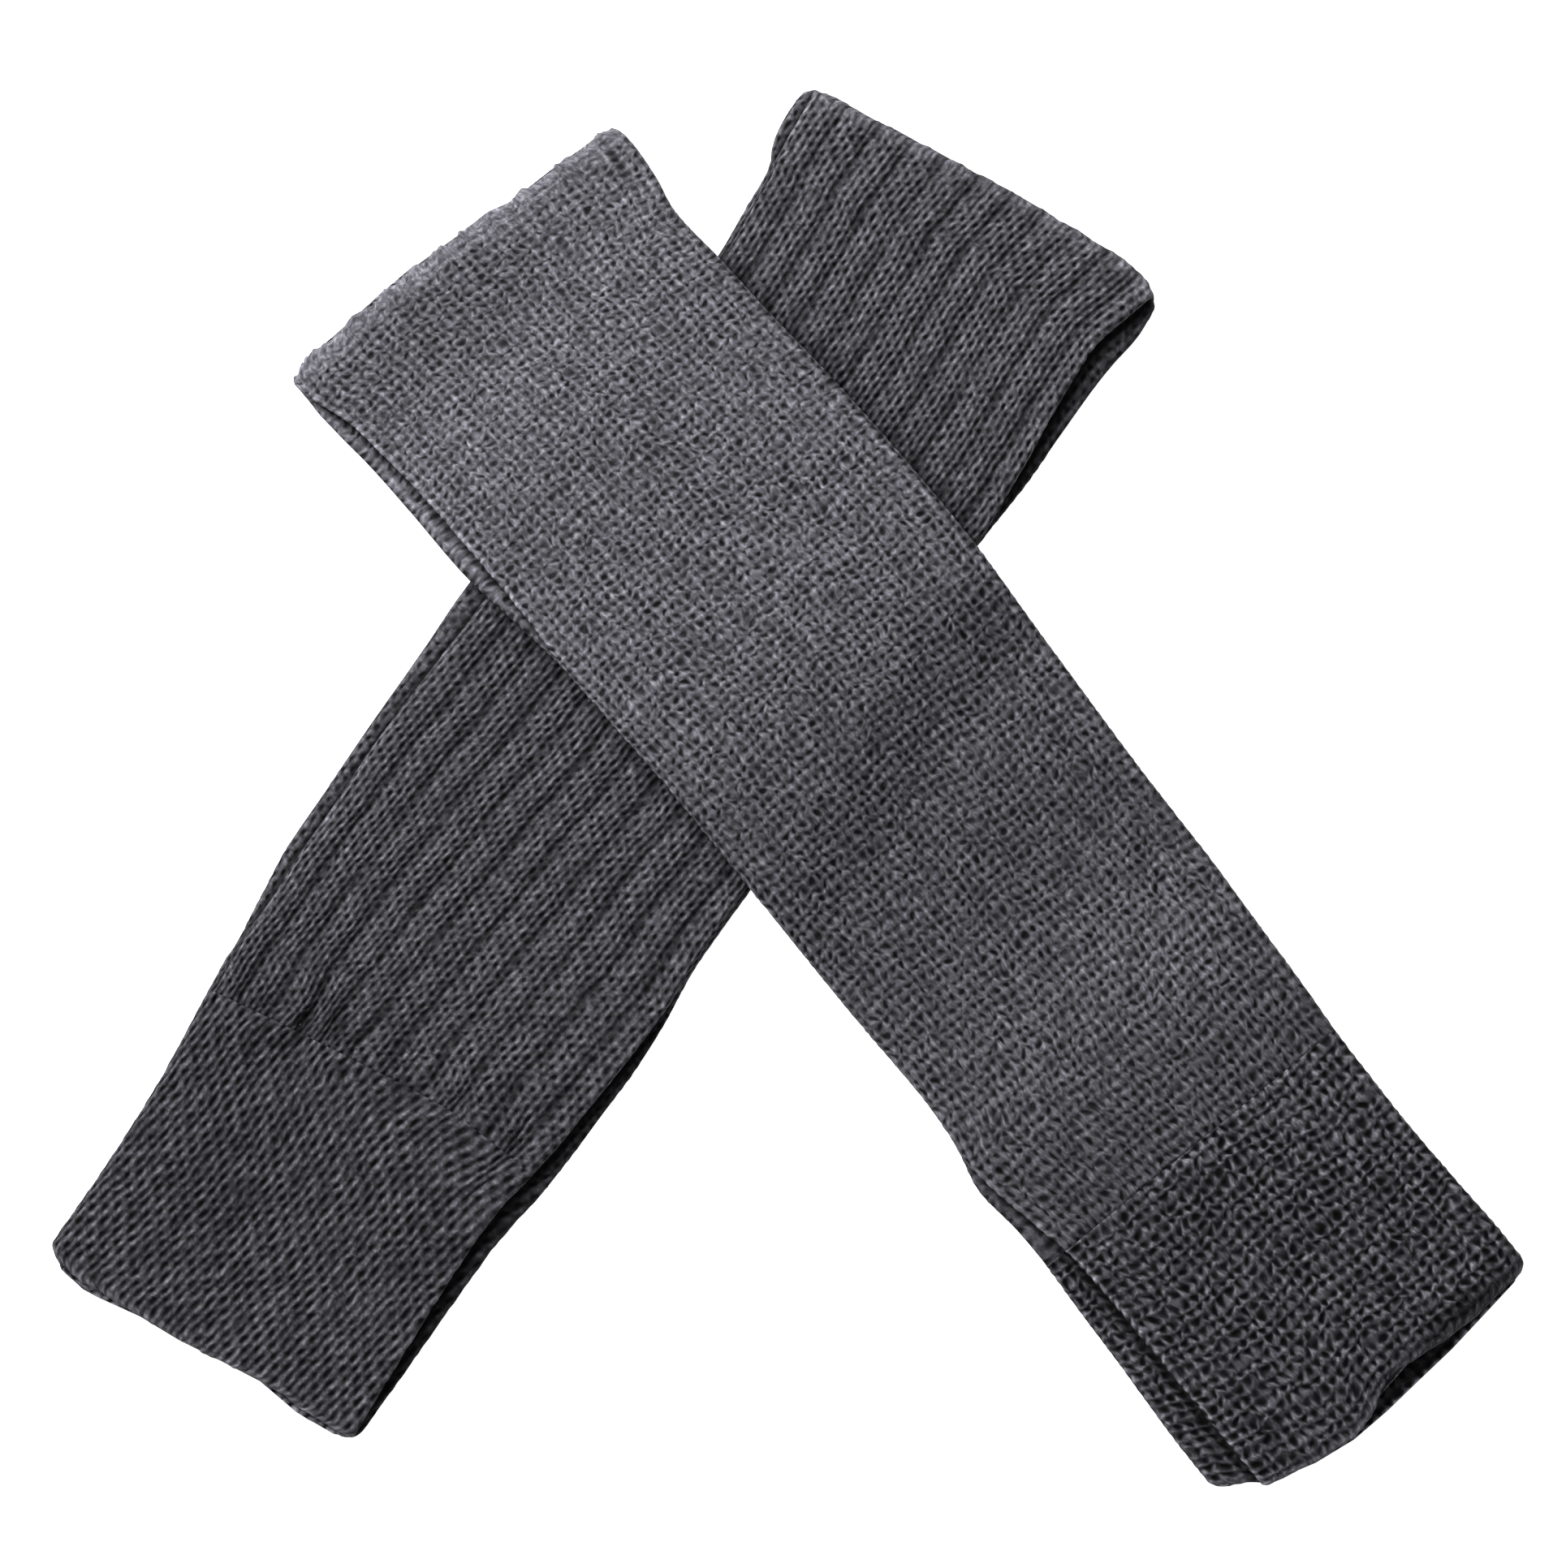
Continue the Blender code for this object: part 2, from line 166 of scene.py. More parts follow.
# along, across, half_length, half_width, change: small slits and pockets, pressed in and darkened with
# painted shade
UPPER_SLITS = [
    (8, 54.5, 6.5, 0.9, -0.75),
    (425.5, 2.5, 3.0, 3.0, -0.95),
    (426.5, 9, 1.8, 5, -0.9),
    (413, -35, 9, 0.8, -0.6),
    (417, -30, 5, 0.8, -0.6),
    (421, 32, 3.2, 18, -0.3),
]
UPPER = {
    "knee": Vector((-97.45 * MM, 154.35 * MM, 0)),
    "ankle": Vector((169.55 * MM, -169.75 * MM, 0)),
    "outline": UPPER_OUTLINE,
    "knee_line": UPPER_KNEE,
    "ankle_line": UPPER_ANKLE,
    "seam_line": UPPER_SEAM,
    "lean": UPPER_LEAN,
    "bends": UPPER_BENDS,
    "tones_and_light": UPPER_TONE_AND_LIGHT,
    "painted_patches": UPPER_LIGHT_AND_SHADE_PATCHES,
    "slits": UPPER_SLITS,
    "creases": UPPER_CREASES,
    "mouths": UPPER_MOUTHS,
}
print("The upper one has", len(UPPER_CREASES), "soft creases and", len(UPPER_SLITS), "slits")

# %% The lower leg warmer
# The same tables with the same columns
LOWER_OUTLINE = [
    (-5, 58.6, 58.5, 1.5, 0.0),
    (8, 59.7, 61.2, 5.5, 3.5),
    (20, 58.2, 60.4, 7.0, 3.5),
    (30, 57.5, 56.8, 6.3, 1.0),
    (45, 57.2, 55.3, 5.2, 0.0),
    (60, 57.0, 54.3, 3.5, 0.0),
    (80, 56.0, 54.6, 1.5, 0.0),
    (95, 55.0, 55.5, 0.0, 0.0),
    (130, 55.0, 58.0, 0.0, 2.0),
    (180, 56.4, 61.1, 0.0, 6.5),
    (200, 57.1, 61.1, 0.0, 5.5),
    (230, 56.6, 61.6, 0.5, 4.4),
    (250, 58.3, 61.5, 2.2, 4.5),
    (270, 58.7, 61.5, 3.6, 4.2),
    (285, 58.1, 60.0, 4.2, 3.3),
    (300, 57.4, 58.4, 4.8, 1.2),
    (310, 56.7, 57.5, 5.6, 0.0),
    (320, 55.3, 56.5, 6.0, 0.0),
    (332, 53.8, 55.2, 5.4, 0.0),
    (350, 53.2, 53.6, 4.6, 0.0),
    (375, 52.8, 52.8, 3.2, 0.0),
    (400, 52.4, 53.0, 1.8, 0.0),
]
LOWER_KNEE = [
    (-60, 2.0, 2.0),
    (-40, 0.0, 0.0),
    (-10, -3.4, -3.4),
    (10, -5.3, -5.3),
    (44, -7.0, -7.0),
    (52, -6.0, -6.0),
    (58, -3.0, -3.0),
]
LOWER_ANKLE = [
    (-53, 405.8, 405.0),
    (-42, 409.7, 407.4),
    (-34, 409.4, 407.2),
    (-24, 407.2, 406.6),
    (0, 405.4, 405.0),
    (20, 402.7, 402.2),
    (36, 404.3, 402.2),
    (46, 403.2, 401.8),
    (54, 401.0, 400.6),
]
LOWER_CREASES = [
    (306, 41, 9, 4, -1.1),
    (312, -28, 13, 4, -1.2),
    (303, -19, 8, 4, -0.9),
    (307, 5, 7, 8, -0.7),
    (311, -42, 8, 5, -0.7),
    (318, -36, 12, 3, -0.6),
    (297, -33, 12, 6, 0.7),
    (298, 22, 12, 8, 0.6),
]
LOWER_MOUTHS = [(-6, 30, 18, 40, 0.8), (404, 0, 16, 60, 0.5)]
LOWER_SEAM = [
    (-55, 316.5, 316.5),
    (-28, 312.5, 312.5),
    (5, 308.2, 308.2),
    (22, 306.7, 306.7),
    (55, 309.0, 309.0),
]
LOWER_LEAN = [(0, 0.0), (190, 0.0), (225, -2.0), (255, -4.6), (312, -4.8), (345, -1.5), (370, 0.0)]
LOWER_BENDS = [
    (304, -34, 10, 7, 2.0),
    (308, -14, 10, 8, -2.0),
    (306, 14, 12, 8, 1.5),
    (308, 36, 12, 7, 2.4),
    (318, 44, 10, 5, -1.4),
]
# the yarn's tone, with painted light and shade along the leg
LOWER_TONE_AND_LIGHT = [(0, 0.54), (200, 0.47), (290, 0.43), (320, 0.36), (405, 0.36)]
# soft patches of painted light and shade
LOWER_LIGHT_AND_SHADE_PATCHES = [
    (8, -50, 12, 6, 0.10),
    (320, -36, 16, 12, -0.18),
    (364, -22, 22, 16, -0.26),
    (345, 34, 14, 12, -0.14),
    (330, 8, 14, 20, 0.06),
]
LOWER_SLITS = [
    (312, -28.5, 6.5, 2.0, -0.85),
    (304, -19, 4.0, 2.2, -0.85),
    (308, 4.5, 3.0, 3.0, -0.6),
    (306, 41, 6, 1.3, -0.7),
    (311, 46, 5, 1.1, -0.6),
    (318, -36, 7, 1.2, -0.5),
]
LOWER = {
    "knee": Vector((57.35 * MM, 171.55 * MM, 0)),
    "ankle": Vector((-168.65 * MM, -160.75 * MM, 0)),
    "outline": LOWER_OUTLINE,
    "knee_line": LOWER_KNEE,
    "ankle_line": LOWER_ANKLE,
    "seam_line": LOWER_SEAM,
    "lean": LOWER_LEAN,
    "bends": LOWER_BENDS,
    "tones_and_light": LOWER_TONE_AND_LIGHT,
    "painted_patches": LOWER_LIGHT_AND_SHADE_PATCHES,
    "slits": LOWER_SLITS,
    "creases": LOWER_CREASES,
    "mouths": LOWER_MOUTHS,
}
print("The lower one has", len(LOWER_CREASES), "soft creases and", len(LOWER_SLITS), "slits")

# %% Read the tables along smooth curves
def smooth(share):
    """0 to 1 with a soft start and a soft end."""
    share = np.clip(share, 0.0, 1.0)
    return share * share * (3 - 2 * share)


def read_table(rows, at, column):
    """A table's column at many places at once, along a smooth curve through its rows."""
    spots = np.array([row[0] for row in rows]) * MM
    values = np.array([row[column] for row in rows]) * MM
    low = np.maximum(np.arange(len(rows)) - 1, 0)
    high = np.minimum(np.arange(len(rows)) + 1, len(rows) - 1)
    slopes = (values[high] - values[low]) / (spots[high] - spots[low])
    at = np.clip(at, spots[0], spots[-1])
    first = np.clip(np.searchsorted(spots, at, side="right") - 1, 0, len(rows) - 2)
    step = spots[first + 1] - spots[first]
    share = (at - spots[first]) / step
    value = values[first] + (values[first + 1] - values[first]) * smooth(share)
    value += slopes[first] * step * share * (1 - share) ** 2
    return value - slopes[first + 1] * step * share**2 * (1 - share)


def swell(rows, along, across):
    """The height of a table's soft rises and hollows at many places."""
    height = np.zeros_like(across)
    for row in rows:
        row_along, row_across, half_length, half_width, row_height = (value * MM for value in row)
        away = ((along - row_along) / half_length) ** 2 + ((across - row_across) / half_width) ** 2
        height += row_height * np.exp(-away)
    return height


def frame_of(cloth):
    """The matrix that takes a place on a leg warmer to the world."""
    along = (cloth["ankle"] - cloth["knee"]).normalized()
    turn = math.atan2(along.y, along.x)
    return Matrix.Translation(cloth["knee"]) @ Matrix.Rotation(turn, 4, "Z")


UPPER_TO_LOWER = np.array(frame_of(LOWER).inverted() @ frame_of(UPPER))


def drape_height(along, across):
    """How high the upper leg warmer's underside lies, where it crosses the lower one."""
    place_along = UPPER_TO_LOWER[0, 0] * along + UPPER_TO_LOWER[0, 1] * across + UPPER_TO_LOWER[0, 3]
    place_across = UPPER_TO_LOWER[1, 0] * along + UPPER_TO_LOWER[1, 1] * across + UPPER_TO_LOWER[1, 3]
    right = read_table(LOWER_OUTLINE, place_along, 1)
    left = read_table(LOWER_OUTLINE, place_along, 2)
    outside = np.maximum((place_across - right) / DRAPE_TO_ANKLE, (-place_across - left) / DRAPE_TO_KNEE)
    return (THICKNESS + REST_GAP) * (1 - smooth(outside))


LOWER_TO_UPPER = np.linalg.inv(UPPER_TO_LOWER)
# painted shadow of the upper leg warmer on the lower one
CROSSING_SHADE = 0.5  # how much light the upper one keeps off the lower one, right beside it
SHADE_TO_RIGHT, SHADE_TO_LEFT = 8 * MM, 5.5 * MM  # how far that reaches


def crossing_light(along, across):
    """The light that is left on the lower leg warmer beside the upper one."""
    place_along = LOWER_TO_UPPER[0, 0] * along + LOWER_TO_UPPER[0, 1] * across + LOWER_TO_UPPER[0, 3]
    place_across = LOWER_TO_UPPER[1, 0] * along + LOWER_TO_UPPER[1, 1] * across + LOWER_TO_UPPER[1, 3]
    right = (place_across - read_table(UPPER_OUTLINE, place_along, 1)) / SHADE_TO_RIGHT
    left = (-place_across - read_table(UPPER_OUTLINE, place_along, 2)) / SHADE_TO_LEFT
    return 1 - CROSSING_SHADE * (1 - smooth(np.maximum(right, left)))


print("The upper one rises", round(float(drape_height(0.125, 0.0)) / MM, 1), "mm over the lower one")

# %% [markdown]
# ## One stitch
#
# A knitted stitch is a loop of yarn. A column of stitches is a wale, a row of them is a course. On the upper
# leg warmer we see the heads of the loops as small arches, with a dark hole between four of them. The lower
# one is pulled long and narrow, so its loops lie in slanted lines, like the strands of a rope. We could
# model every loop as a tube, but that takes millions of faces. A knit repeats in two directions, so two
# crossed waves are enough: one counts wales and one counts courses. The same rule makes the real relief
# here and the fine detail in the yarn's material later.

# %% The stitches of the four pieces
# strands: lines in a wale
# slant: how far the lines lean over along one course, in lines
# line, head: how high the lines and the heads of the loops stand
# step: how much lower each line starts than the one beside it, in courses
# shift: which part of a line the heads sit on, as an angle
# bend: how far the heads are bent into arches, in courses
KNIT_WORDS = ("strands", "slant", "line", "head", "step", "shift", "bend")
KNITS = {
    "upper_leg": (1, 0.0, 0.26, 0.26, 0.0, 0.0, 0.06),
    "upper_cuff": (1, 0.0, 0.27, 0.27, 0.0, 0.0, 0.10),
    "lower_leg": (2, 0.13, 0.27, 0.32, 0.5, math.pi / 4, 0.0),
    "lower_cuff": (2, 0.41, 0.31, 0.30, 0.5, math.pi / 4, 0.0),
}
TURN = 2 * math.pi


def stitch_height(wale, course, knit):
    """How high the yarn lies in its stitch, from 0 in a hole to 1 on top."""
    strands, slant, line, head, step, shift, bend = knit
    column = strands * wale + slant * course
    lines = np.cos(TURN * column)
    row = course + bend * lines
    heads = np.cos(TURN * step * column - shift) * np.cos(TURN * row)
    return np.clip(0.5 + line * lines + head * heads, 0, 1)


for name, knit in KNITS.items():
    print("On", name, "the first stitch starts", round(float(stitch_height(0.0, 0.0, knit)), 2), "high")

# %% [markdown]
# ## The folds of a flat tube
#
# A flattened tube could be two planes stitched at the sides, but a real tube folds round at its edges, and
# its stitches go round with it. Where the front panel is set back there are two folds, with a dark groove
# between them. We trace both kinds of fold as short curves and mix them by the width of the lap, so that a
# lap can grow out of a plain edge.

# %% The folds at the sides
# We follow a fold from the table up in ten parts. Beside a lap, four parts go round the back panel's
# fold, one goes into the groove, one comes out of it, and four go round the front panel's fold.
PARTS = 10
BACK_DONE, IN_GROOVE, FRONT_STARTS = 4, 5, 6
SIDE_FINE = 81  # points of a fold before it is divided evenly
# first, length: the parts over which the stitches rise out of the smooth underside
PLAIN_RISE, BACK_RISE, FRONT_RISE = (1.5, 8), (0.8, 3.2), (7, 3)
FRONT_LIGHT = (5.6, 2)  # the parts over which the light comes back on the front panel's fold
# painted highlight along the front panel's fold
GLOW_AT, GLOW_WIDE = 9.2, 1.1  # the part where that fold looks palest, and how wide the pale line is
CLEAR_OF_FOLD = 0.8 * MM  # a lap has no stitches this close to the front panel's fold
# The painted light and shade on a lap. The lamp stands at the left, so the front panel shades the laps at
# its right.
# groove_light: what is left of the light in the groove
# shade_wide: how far its shade reaches over the lap
# lap_light: what is left of the light at the edge of the lap
# glow: how much paler a painted highlight makes the fold of the front panel
RIGHT_LAP = (0.06, 7 * MM, 0.5, 0.25)


def rise(part, span):
    """0 before a span of parts, and 1 after it."""
    first, length = span
    return smooth((part - first) / length)


def plain_fold(part, edge):
    """A fold with no lap, half a circle: distance from the middle, height, relief and light."""
    turn = math.pi * (part / PARTS - 0.5)
    far = edge - THICKNESS / 2 * (1 - np.cos(turn))
    high = THICKNESS / 2 * (1 + np.sin(turn)) + 0 * edge
    return far, high, rise(part, PLAIN_RISE) + 0 * edge, 1 + 0 * part * edge


def lapped_fold(part, edge, fold, groove_light, shade_wide, lap_light, glow):
    """A fold with a lap, two small half circles with the front one set back: the same four rows."""
    back_radius = BACK_LAYER / 2
    front_radius = (THICKNESS - BACK_LAYER - GROOVE) / 2
    back_turn = math.pi * (np.clip(part / BACK_DONE, 0, 1) - 0.5)
    front_turn = math.pi * (np.clip((part - FRONT_STARTS) / (PARTS - FRONT_STARTS), 0, 1) - 0.5)
    inward, outward = np.clip(part - BACK_DONE, 0, 1), np.clip(part - IN_GROOVE, 0, 1)
    back_far = edge - back_radius * (1 - np.cos(back_turn))
    back_high = back_radius * (1 + np.sin(back_turn))
    groove_far, groove_high = fold - 2 * front_radius, BACK_LAYER + GROOVE / 2
    front_far = fold - front_radius * (1 - np.cos(front_turn))
    front_high = THICKNESS - front_radius * (1 - np.sin(front_turn))
    far_in = back_far + (groove_far - back_far) * inward
    far_out = groove_far + (front_far - groove_far) * outward
    high_in = back_high + (groove_high - back_high) * inward
    high_out = groove_high + (front_high - groove_high) * outward
    on_back = part < IN_GROOVE
    far, high = np.where(on_back, far_in, far_out), np.where(on_back, high_in, high_out)

    clear = smooth((far - fold) / CLEAR_OF_FOLD)
    relief = np.where(on_back, rise(part, BACK_RISE) * clear, rise(part, FRONT_RISE))
    shaded = np.where(on_back, smooth((far - fold) / shade_wide), rise(part, FRONT_LIGHT))
    most = np.where(on_back, lap_light, 1)
    painted_highlight = glow * np.exp(-(((part - GLOW_AT) / GLOW_WIDE) ** 2))
    return far, high, relief, groove_light + (most - groove_light) * shaded + painted_highlight


def side_curves(edge, lap, steps, *lap_looks):
    """One side of every ring, divided evenly: distance from the middle, height, relief and light."""
    part = np.linspace(0, PARTS, SIDE_FINE)[None, :]
    edge, fold = edge[:, None], (edge - lap)[:, None]
    plain_rows = plain_fold(part, edge)
    lapped_rows = lapped_fold(part, edge, fold, *lap_looks)
    lapped_share = smooth(lap / FULL_LAP)[:, None]
    rows = [plain + (lapped - plain) * lapped_share for plain, lapped in zip(plain_rows, lapped_rows)]
    run = np.hypot(np.diff(rows[0], axis=1), np.diff(rows[1], axis=1))
    run = np.concatenate([np.zeros((len(run), 1)), np.cumsum(run, axis=1)], axis=1)
    return [
        np.array([np.interp(np.linspace(0, r[-1], steps + 1), r, row) for r, row in zip(run, values)])
        for values in rows
    ]


print("A fold with no lap is", round(math.pi * THICKNESS / 2 / MM, 1), "mm round")

# %% [markdown]
# ## Rings along the tube
#
# We sweep one closed section along the tube, as a row of rings. An end of knitting is never quite straight:
# the knee end has small teeth where its last loops curl, and at the ankle the front panel stops short of
# the back one. A straight cut would be simpler, but looks like paper. So each point of a ring has its own
# place along the tube, which we read from the tables.

# %% Where each ring lies
TEETH_FADE = 3 * MM  # how fast an end's small teeth die out along the cloth
# wave, bend, bend_wave, share: two sizes of teeth, and how their spacing wanders
TEETH = [(0.57 * MM, 2, 9 * MM, 0.4), (1.9 * MM, 3, 17 * MM, 0.8)]


def to_open_end(piece, shares):
    """The share of a piece that lies between each ring and its open end."""
    return shares if piece["is_leg"] else 1 - shares


def place_along(piece, shares, across, layer):
    """How far along the leg warmer a point lies. Layer goes from 0, the back panel, to 1, the front."""
    start, end = piece["start"](across, layer), piece["end"](across, layer)
    to_end = (end - start) * to_open_end(piece, shares)
    teeth = 0
    for wave, bend, bend_wave, share in TEETH:
        teeth = teeth + share * np.sin(across / wave + bend * np.sin(across / bend_wave))
    return start + shares * (end - start) + piece["teeth"] * teeth * np.exp(-to_end / TEETH_FADE)


def distance_to_end(piece, along, across, layer):
    """How far each point lies from the open end of its piece."""
    return np.abs(along - place_along(piece, 0.0 if piece["is_leg"] else 1.0, across, layer))


def ring_edges(piece, shares):
    """For each ring and side: how far out the tube's edge lies, and its lap."""
    cloth, none = piece["cloth"], np.zeros_like(shares)
    middle = place_along(piece, shares, none, none)
    to_corner = (middle[-1] - middle[0]) * to_open_end(piece, shares)
    pulled = CORNER - np.sqrt(CORNER**2 - (CORNER - np.minimum(to_corner, CORNER)) ** 2)
    edges = {}
    for side, column, sign in (("right", 1, 1), ("left", 2, -1)):
        across = sign * read_table(cloth["outline"], middle, column)
        along = place_along(piece, shares, across, none)
        # Only the outer fold is rounded at the corner: a front fold beside a lap keeps its place
        lap = np.maximum(read_table(cloth["outline"], along, column + 2) - pulled, 0)
        edges[side] = (read_table(cloth["outline"], along, column) - pulled, lap)
    return edges


def leg_ends(cloth, teeth):
    """A leg runs from its knee end to the seam with the cuff."""
    return {
        "cloth": cloth,
        "is_leg": True,
        "start": lambda across, layer: read_table(cloth["knee_line"], across, 1),
        "end": lambda across, layer: read_table(cloth["seam_line"], across, 1),
        "teeth": teeth,
    }


def cuff_ends(cloth, teeth):
    """A cuff runs from the seam to its ankle end, where the front panel may stop short of the back one."""

    def end(across, layer):
        back = read_table(cloth["ankle_line"], across, 1)
        front = read_table(cloth["ankle_line"], across, 2)
        return back + layer * (front - back)

    return {
        "cloth": cloth,
        "is_leg": False,
        "start": lambda across, layer: read_table(cloth["seam_line"], across, 1),
        "end": end,
        "teeth": teeth,
    }


# %% [markdown]
# ## How each piece is knitted
#
# The four pieces are one yarn, knitted more or less loosely. We could divide each shell into even squares,
# but then some loops would fall between the points. Instead the points sit on a grid of wales and courses.
# Every stitch gets the same few points, and the same grid becomes the UV map for the material.

# %% The four pieces, and how densely each is knitted
# wales: across the front panel, round the right side, round the left side and underneath
# relief: along, depth, so that the stitches stand up more where the cloth is looser
# points: for a wale on the front, a wale on a side, the whole underside, and a course
# uneven: how far single stitches stray across and along, and how far rows wander, in stitches
# hollow: the light that is left inside the tube, and how far daylight reaches in from its end
# left_lap: the light on that lap, in the same order as RIGHT_LAP
# fuzzy_knee: how far the holes at the knee end are closed up
# denser: how much closer together the courses are there
# rim: the width of the firm edge, and of its soft border with the rest
# drapes: whether the piece lies over the lower leg warmer
PIECES = {
    "upper_leg": {
        **leg_ends(UPPER, 1.0 * MM),
        "wales": (38, 2, 3, 37),
        "courses": 116,
        "relief": [(0, 0.6), (60, 0.7), (180, 0.9), (336, 1.0)],
        "points": (5, 4, 10, 3),
        "uneven": (0.24, 0.26, 0.40),
        "hollow": (0.12, 0.6 * MM),
        "left_lap": (0.28, 2.4 * MM, 1.0, 0.75),
        "fuzzy_knee": 0.12,
        "denser": 0.2,
        "rim": (7 * MM, 3 * MM),
        "drapes": True,
    },
    "upper_cuff": {
        **cuff_ends(UPPER, 0.25 * MM),
        "wales": (30, 2, 6, 30),
        "courses": 27,
        "relief": [(336, 0.95), (430, 0.95)],
        "points": (7, 6, 10, 7),
        "uneven": (0.26, 0.28, 0.40),
        "hollow": (0.12, 0.6 * MM),
        "left_lap": (0.10, 5.5 * MM, 1.0, 1.1),
        "fuzzy_knee": 0.0,
        "denser": 0.0,
        "rim": (4 * MM, 4 * MM),
        "drapes": False,
    },
    "lower_leg": {
        **leg_ends(LOWER, 0.25 * MM),
        "wales": (26, 3, 3, 26),
        "courses": 80,
        "relief": [(0, 0.65), (312, 0.7)],
        "points": (9, 4, 10, 4),
        "uneven": (0.07, 0.20, 0.10),
        "hollow": (0.40, 1.5 * MM),
        "left_lap": (0.10, 2.4 * MM, 1.0, 0.75),
        "fuzzy_knee": 0.0,
        "denser": 0.0,
        "rim": (5 * MM, 3 * MM),
        "drapes": False,
    },
    "lower_cuff": {
        **cuff_ends(LOWER, 0.25 * MM),
        "wales": (20, 2, 2, 20),
        "courses": 18,
        "relief": [(312, 0.8), (410, 0.8)],
        "points": (11, 8, 10, 9),
        "uneven": (0.06, 0.16, 0.06),
        "hollow": (0.50, 3.0 * MM),
        "left_lap": (0.10, 2.4 * MM, 1.0, 0.75),
        "fuzzy_knee": 0.0,
        "denser": 0.0,
        "rim": (3 * MM, 3 * MM),
        "drapes": False,
    },
}
for name, piece in PIECES.items():
    print(name, "is", sum(piece["wales"]), "wales round and", piece["courses"], "courses long")

# %% How uneven the knitting is
# Knitting is never quite even: single stitches differ, and whole rows wander up and down
# Every kind of unevenness has random numbers of its own
ACROSS_SEED, ALONG_SEED, DEPTH_SEED, WANDER_SEED = 11, 12, 13, 14
LINE_SEED, HOLE_SEED, FURROW_SEED = 15, 16, 21
WANDER_WALES, WANDER_COURSES = 5, 9  # how many stitches wander together


def unevenness(wale, course, seed, piece):
    """Soft random numbers from -1 to 1 that change from stitch to stitch."""
    courses, wales = piece["courses"], sum(piece["wales"])
    rows = np.random.default_rng(seed).uniform(-1, 1, (courses + 4, wales))
    row, column = np.floor(course).astype(int), np.floor(wale).astype(int)
    down, over = smooth(course - row), smooth(wale - column)
    near, far = np.clip(row + 1, 0, courses + 3), np.clip(row + 2, 0, courses + 3)
    first, second = column % wales, (column + 1) % wales
    top = rows[near, first] * (1 - over) + rows[near, second] * over
    bottom = rows[far, first] * (1 - over) + rows[far, second] * over
    return top * (1 - down) + bottom * down


def uneven_stitches(piece, wale, course, relief):
    """Moves the count of wales and courses a little, so that the stitches stray from their places."""
    wale_shift, course_shift, wander = piece["uneven"]
    wale = wale + wale_shift * unevenness(wale, course, ACROSS_SEED, piece)
    course = course + course_shift * unevenness(wale, course, ALONG_SEED, piece)
    rows = unevenness(wale / WANDER_WALES, course / WANDER_COURSES, WANDER_SEED, piece)
    return wale, course + wander * rows * relief


# %% [markdown]
# ## Wide ribs and a gathered seam
#
# The lower leg warmer is stretched lengthways, so its wide ribs show: flat ridges with a narrow furrow
# between them. Its cuff has fewer wales than its leg, so the leg is gathered where the two meet. We could
# sculpt both by hand. Sums over the count of wales give the same forms, and they follow the stitches.

# %% The wide ribs of the lower leg, and its gathered seam
FURROW_WALES = 2.5  # wales between two furrows
FURROW_FIRST = 2  # wales from the left fold to the first furrow
FURROW_DEPTH = 0.9 * MM
# painted shade in the furrows, over their real trough
FURROW_LINE, LINE_SHADE = 0.17, 0.78  # half width of the dark line in a furrow, in wales, and its shade
FURROW_TROUGH, TROUGH_SHADE = 0.55, 0.30  # and the same for the soft trough round it
# How strong the furrows are at the knee end, what the stretch adds, by which course, and how they vary
KNEE_STRENGTH, STRETCH_ADDS, STRETCHED_BY, FURROW_RANGE = 0.70, 0.14, 40, 0.25
FURROW_PATCH = (1.5, 6)  # how many wales and courses of a furrow vary together
SEAM_DIP, DIP_HALF = 0.7 * MM, 3.2 * MM  # how far the cloth is drawn in at the seam, and how near to it
PUFF, PUFF_HALF, PUFF_BEFORE = 0.8 * MM, 5.5 * MM, 8 * MM  # how a rib swells just before the cuff
GATHER_WAVE, GATHER_BEND = 1.75 * MM, 11 * MM  # spacing of the gathers, and how it wanders


def furrows(piece, wale, course):
    """For the wide ribs: the depth of the furrows, and the light that is left in them."""
    beside = np.abs((wale - FURROW_FIRST + FURROW_WALES / 2) % FURROW_WALES - FURROW_WALES / 2)
    wales, courses = FURROW_PATCH
    varied = FURROW_RANGE * unevenness(wale / wales, course / courses, FURROW_SEED, piece)
    # The knee end is stretched less, so its furrows are weaker than those nearer the ankle
    strength = KNEE_STRENGTH + STRETCH_ADDS * smooth(course / STRETCHED_BY) + varied
    trough = strength * np.exp(-((beside / FURROW_TROUGH) ** 2))
    line = strength * np.exp(-((beside / FURROW_LINE) ** 2))
    return FURROW_DEPTH * trough, (1 - TROUGH_SHADE * trough) * (1 - LINE_SHADE * line)


def gathers(piece, along, across):
    """The lower one is drawn in at its seam, and its ribs swell just before it."""
    past_seam = along - read_table(piece["cloth"]["seam_line"], across, 1)
    draw = 0.65 + 0.35 * np.sin(across / GATHER_WAVE + 2 * np.sin(across / GATHER_BEND))
    dip = SEAM_DIP * draw * np.exp(-((past_seam / DIP_HALF) ** 2))
    puff = PUFF * draw * np.exp(-(((past_seam + PUFF_BEFORE) / PUFF_HALF) ** 2)) if piece["is_leg"] else 0
    return puff - dip


# %% [markdown]
# ## The outer skin
#
# Now the parts come together. A ring goes round the right fold, over the front panel, round the left fold
# and back underneath. We first lay out the cloth smooth, and then bend it into its creases. Last, we push
# every point in or out by the height of its stitch. A displacement modifier could do that too, but here
# we choose where the stitches die out: underneath, at the seam, and in the firm edges.

# %% Lay out the grid of points
LIP_RINGS = np.array([0.15, 0.45]) * MM  # two more rings this close to the open end, to round it


def knitted_share(piece, share):
    """The share of a piece's courses that lies before a place along it."""
    return share + piece["denser"] * share * (1 - share)


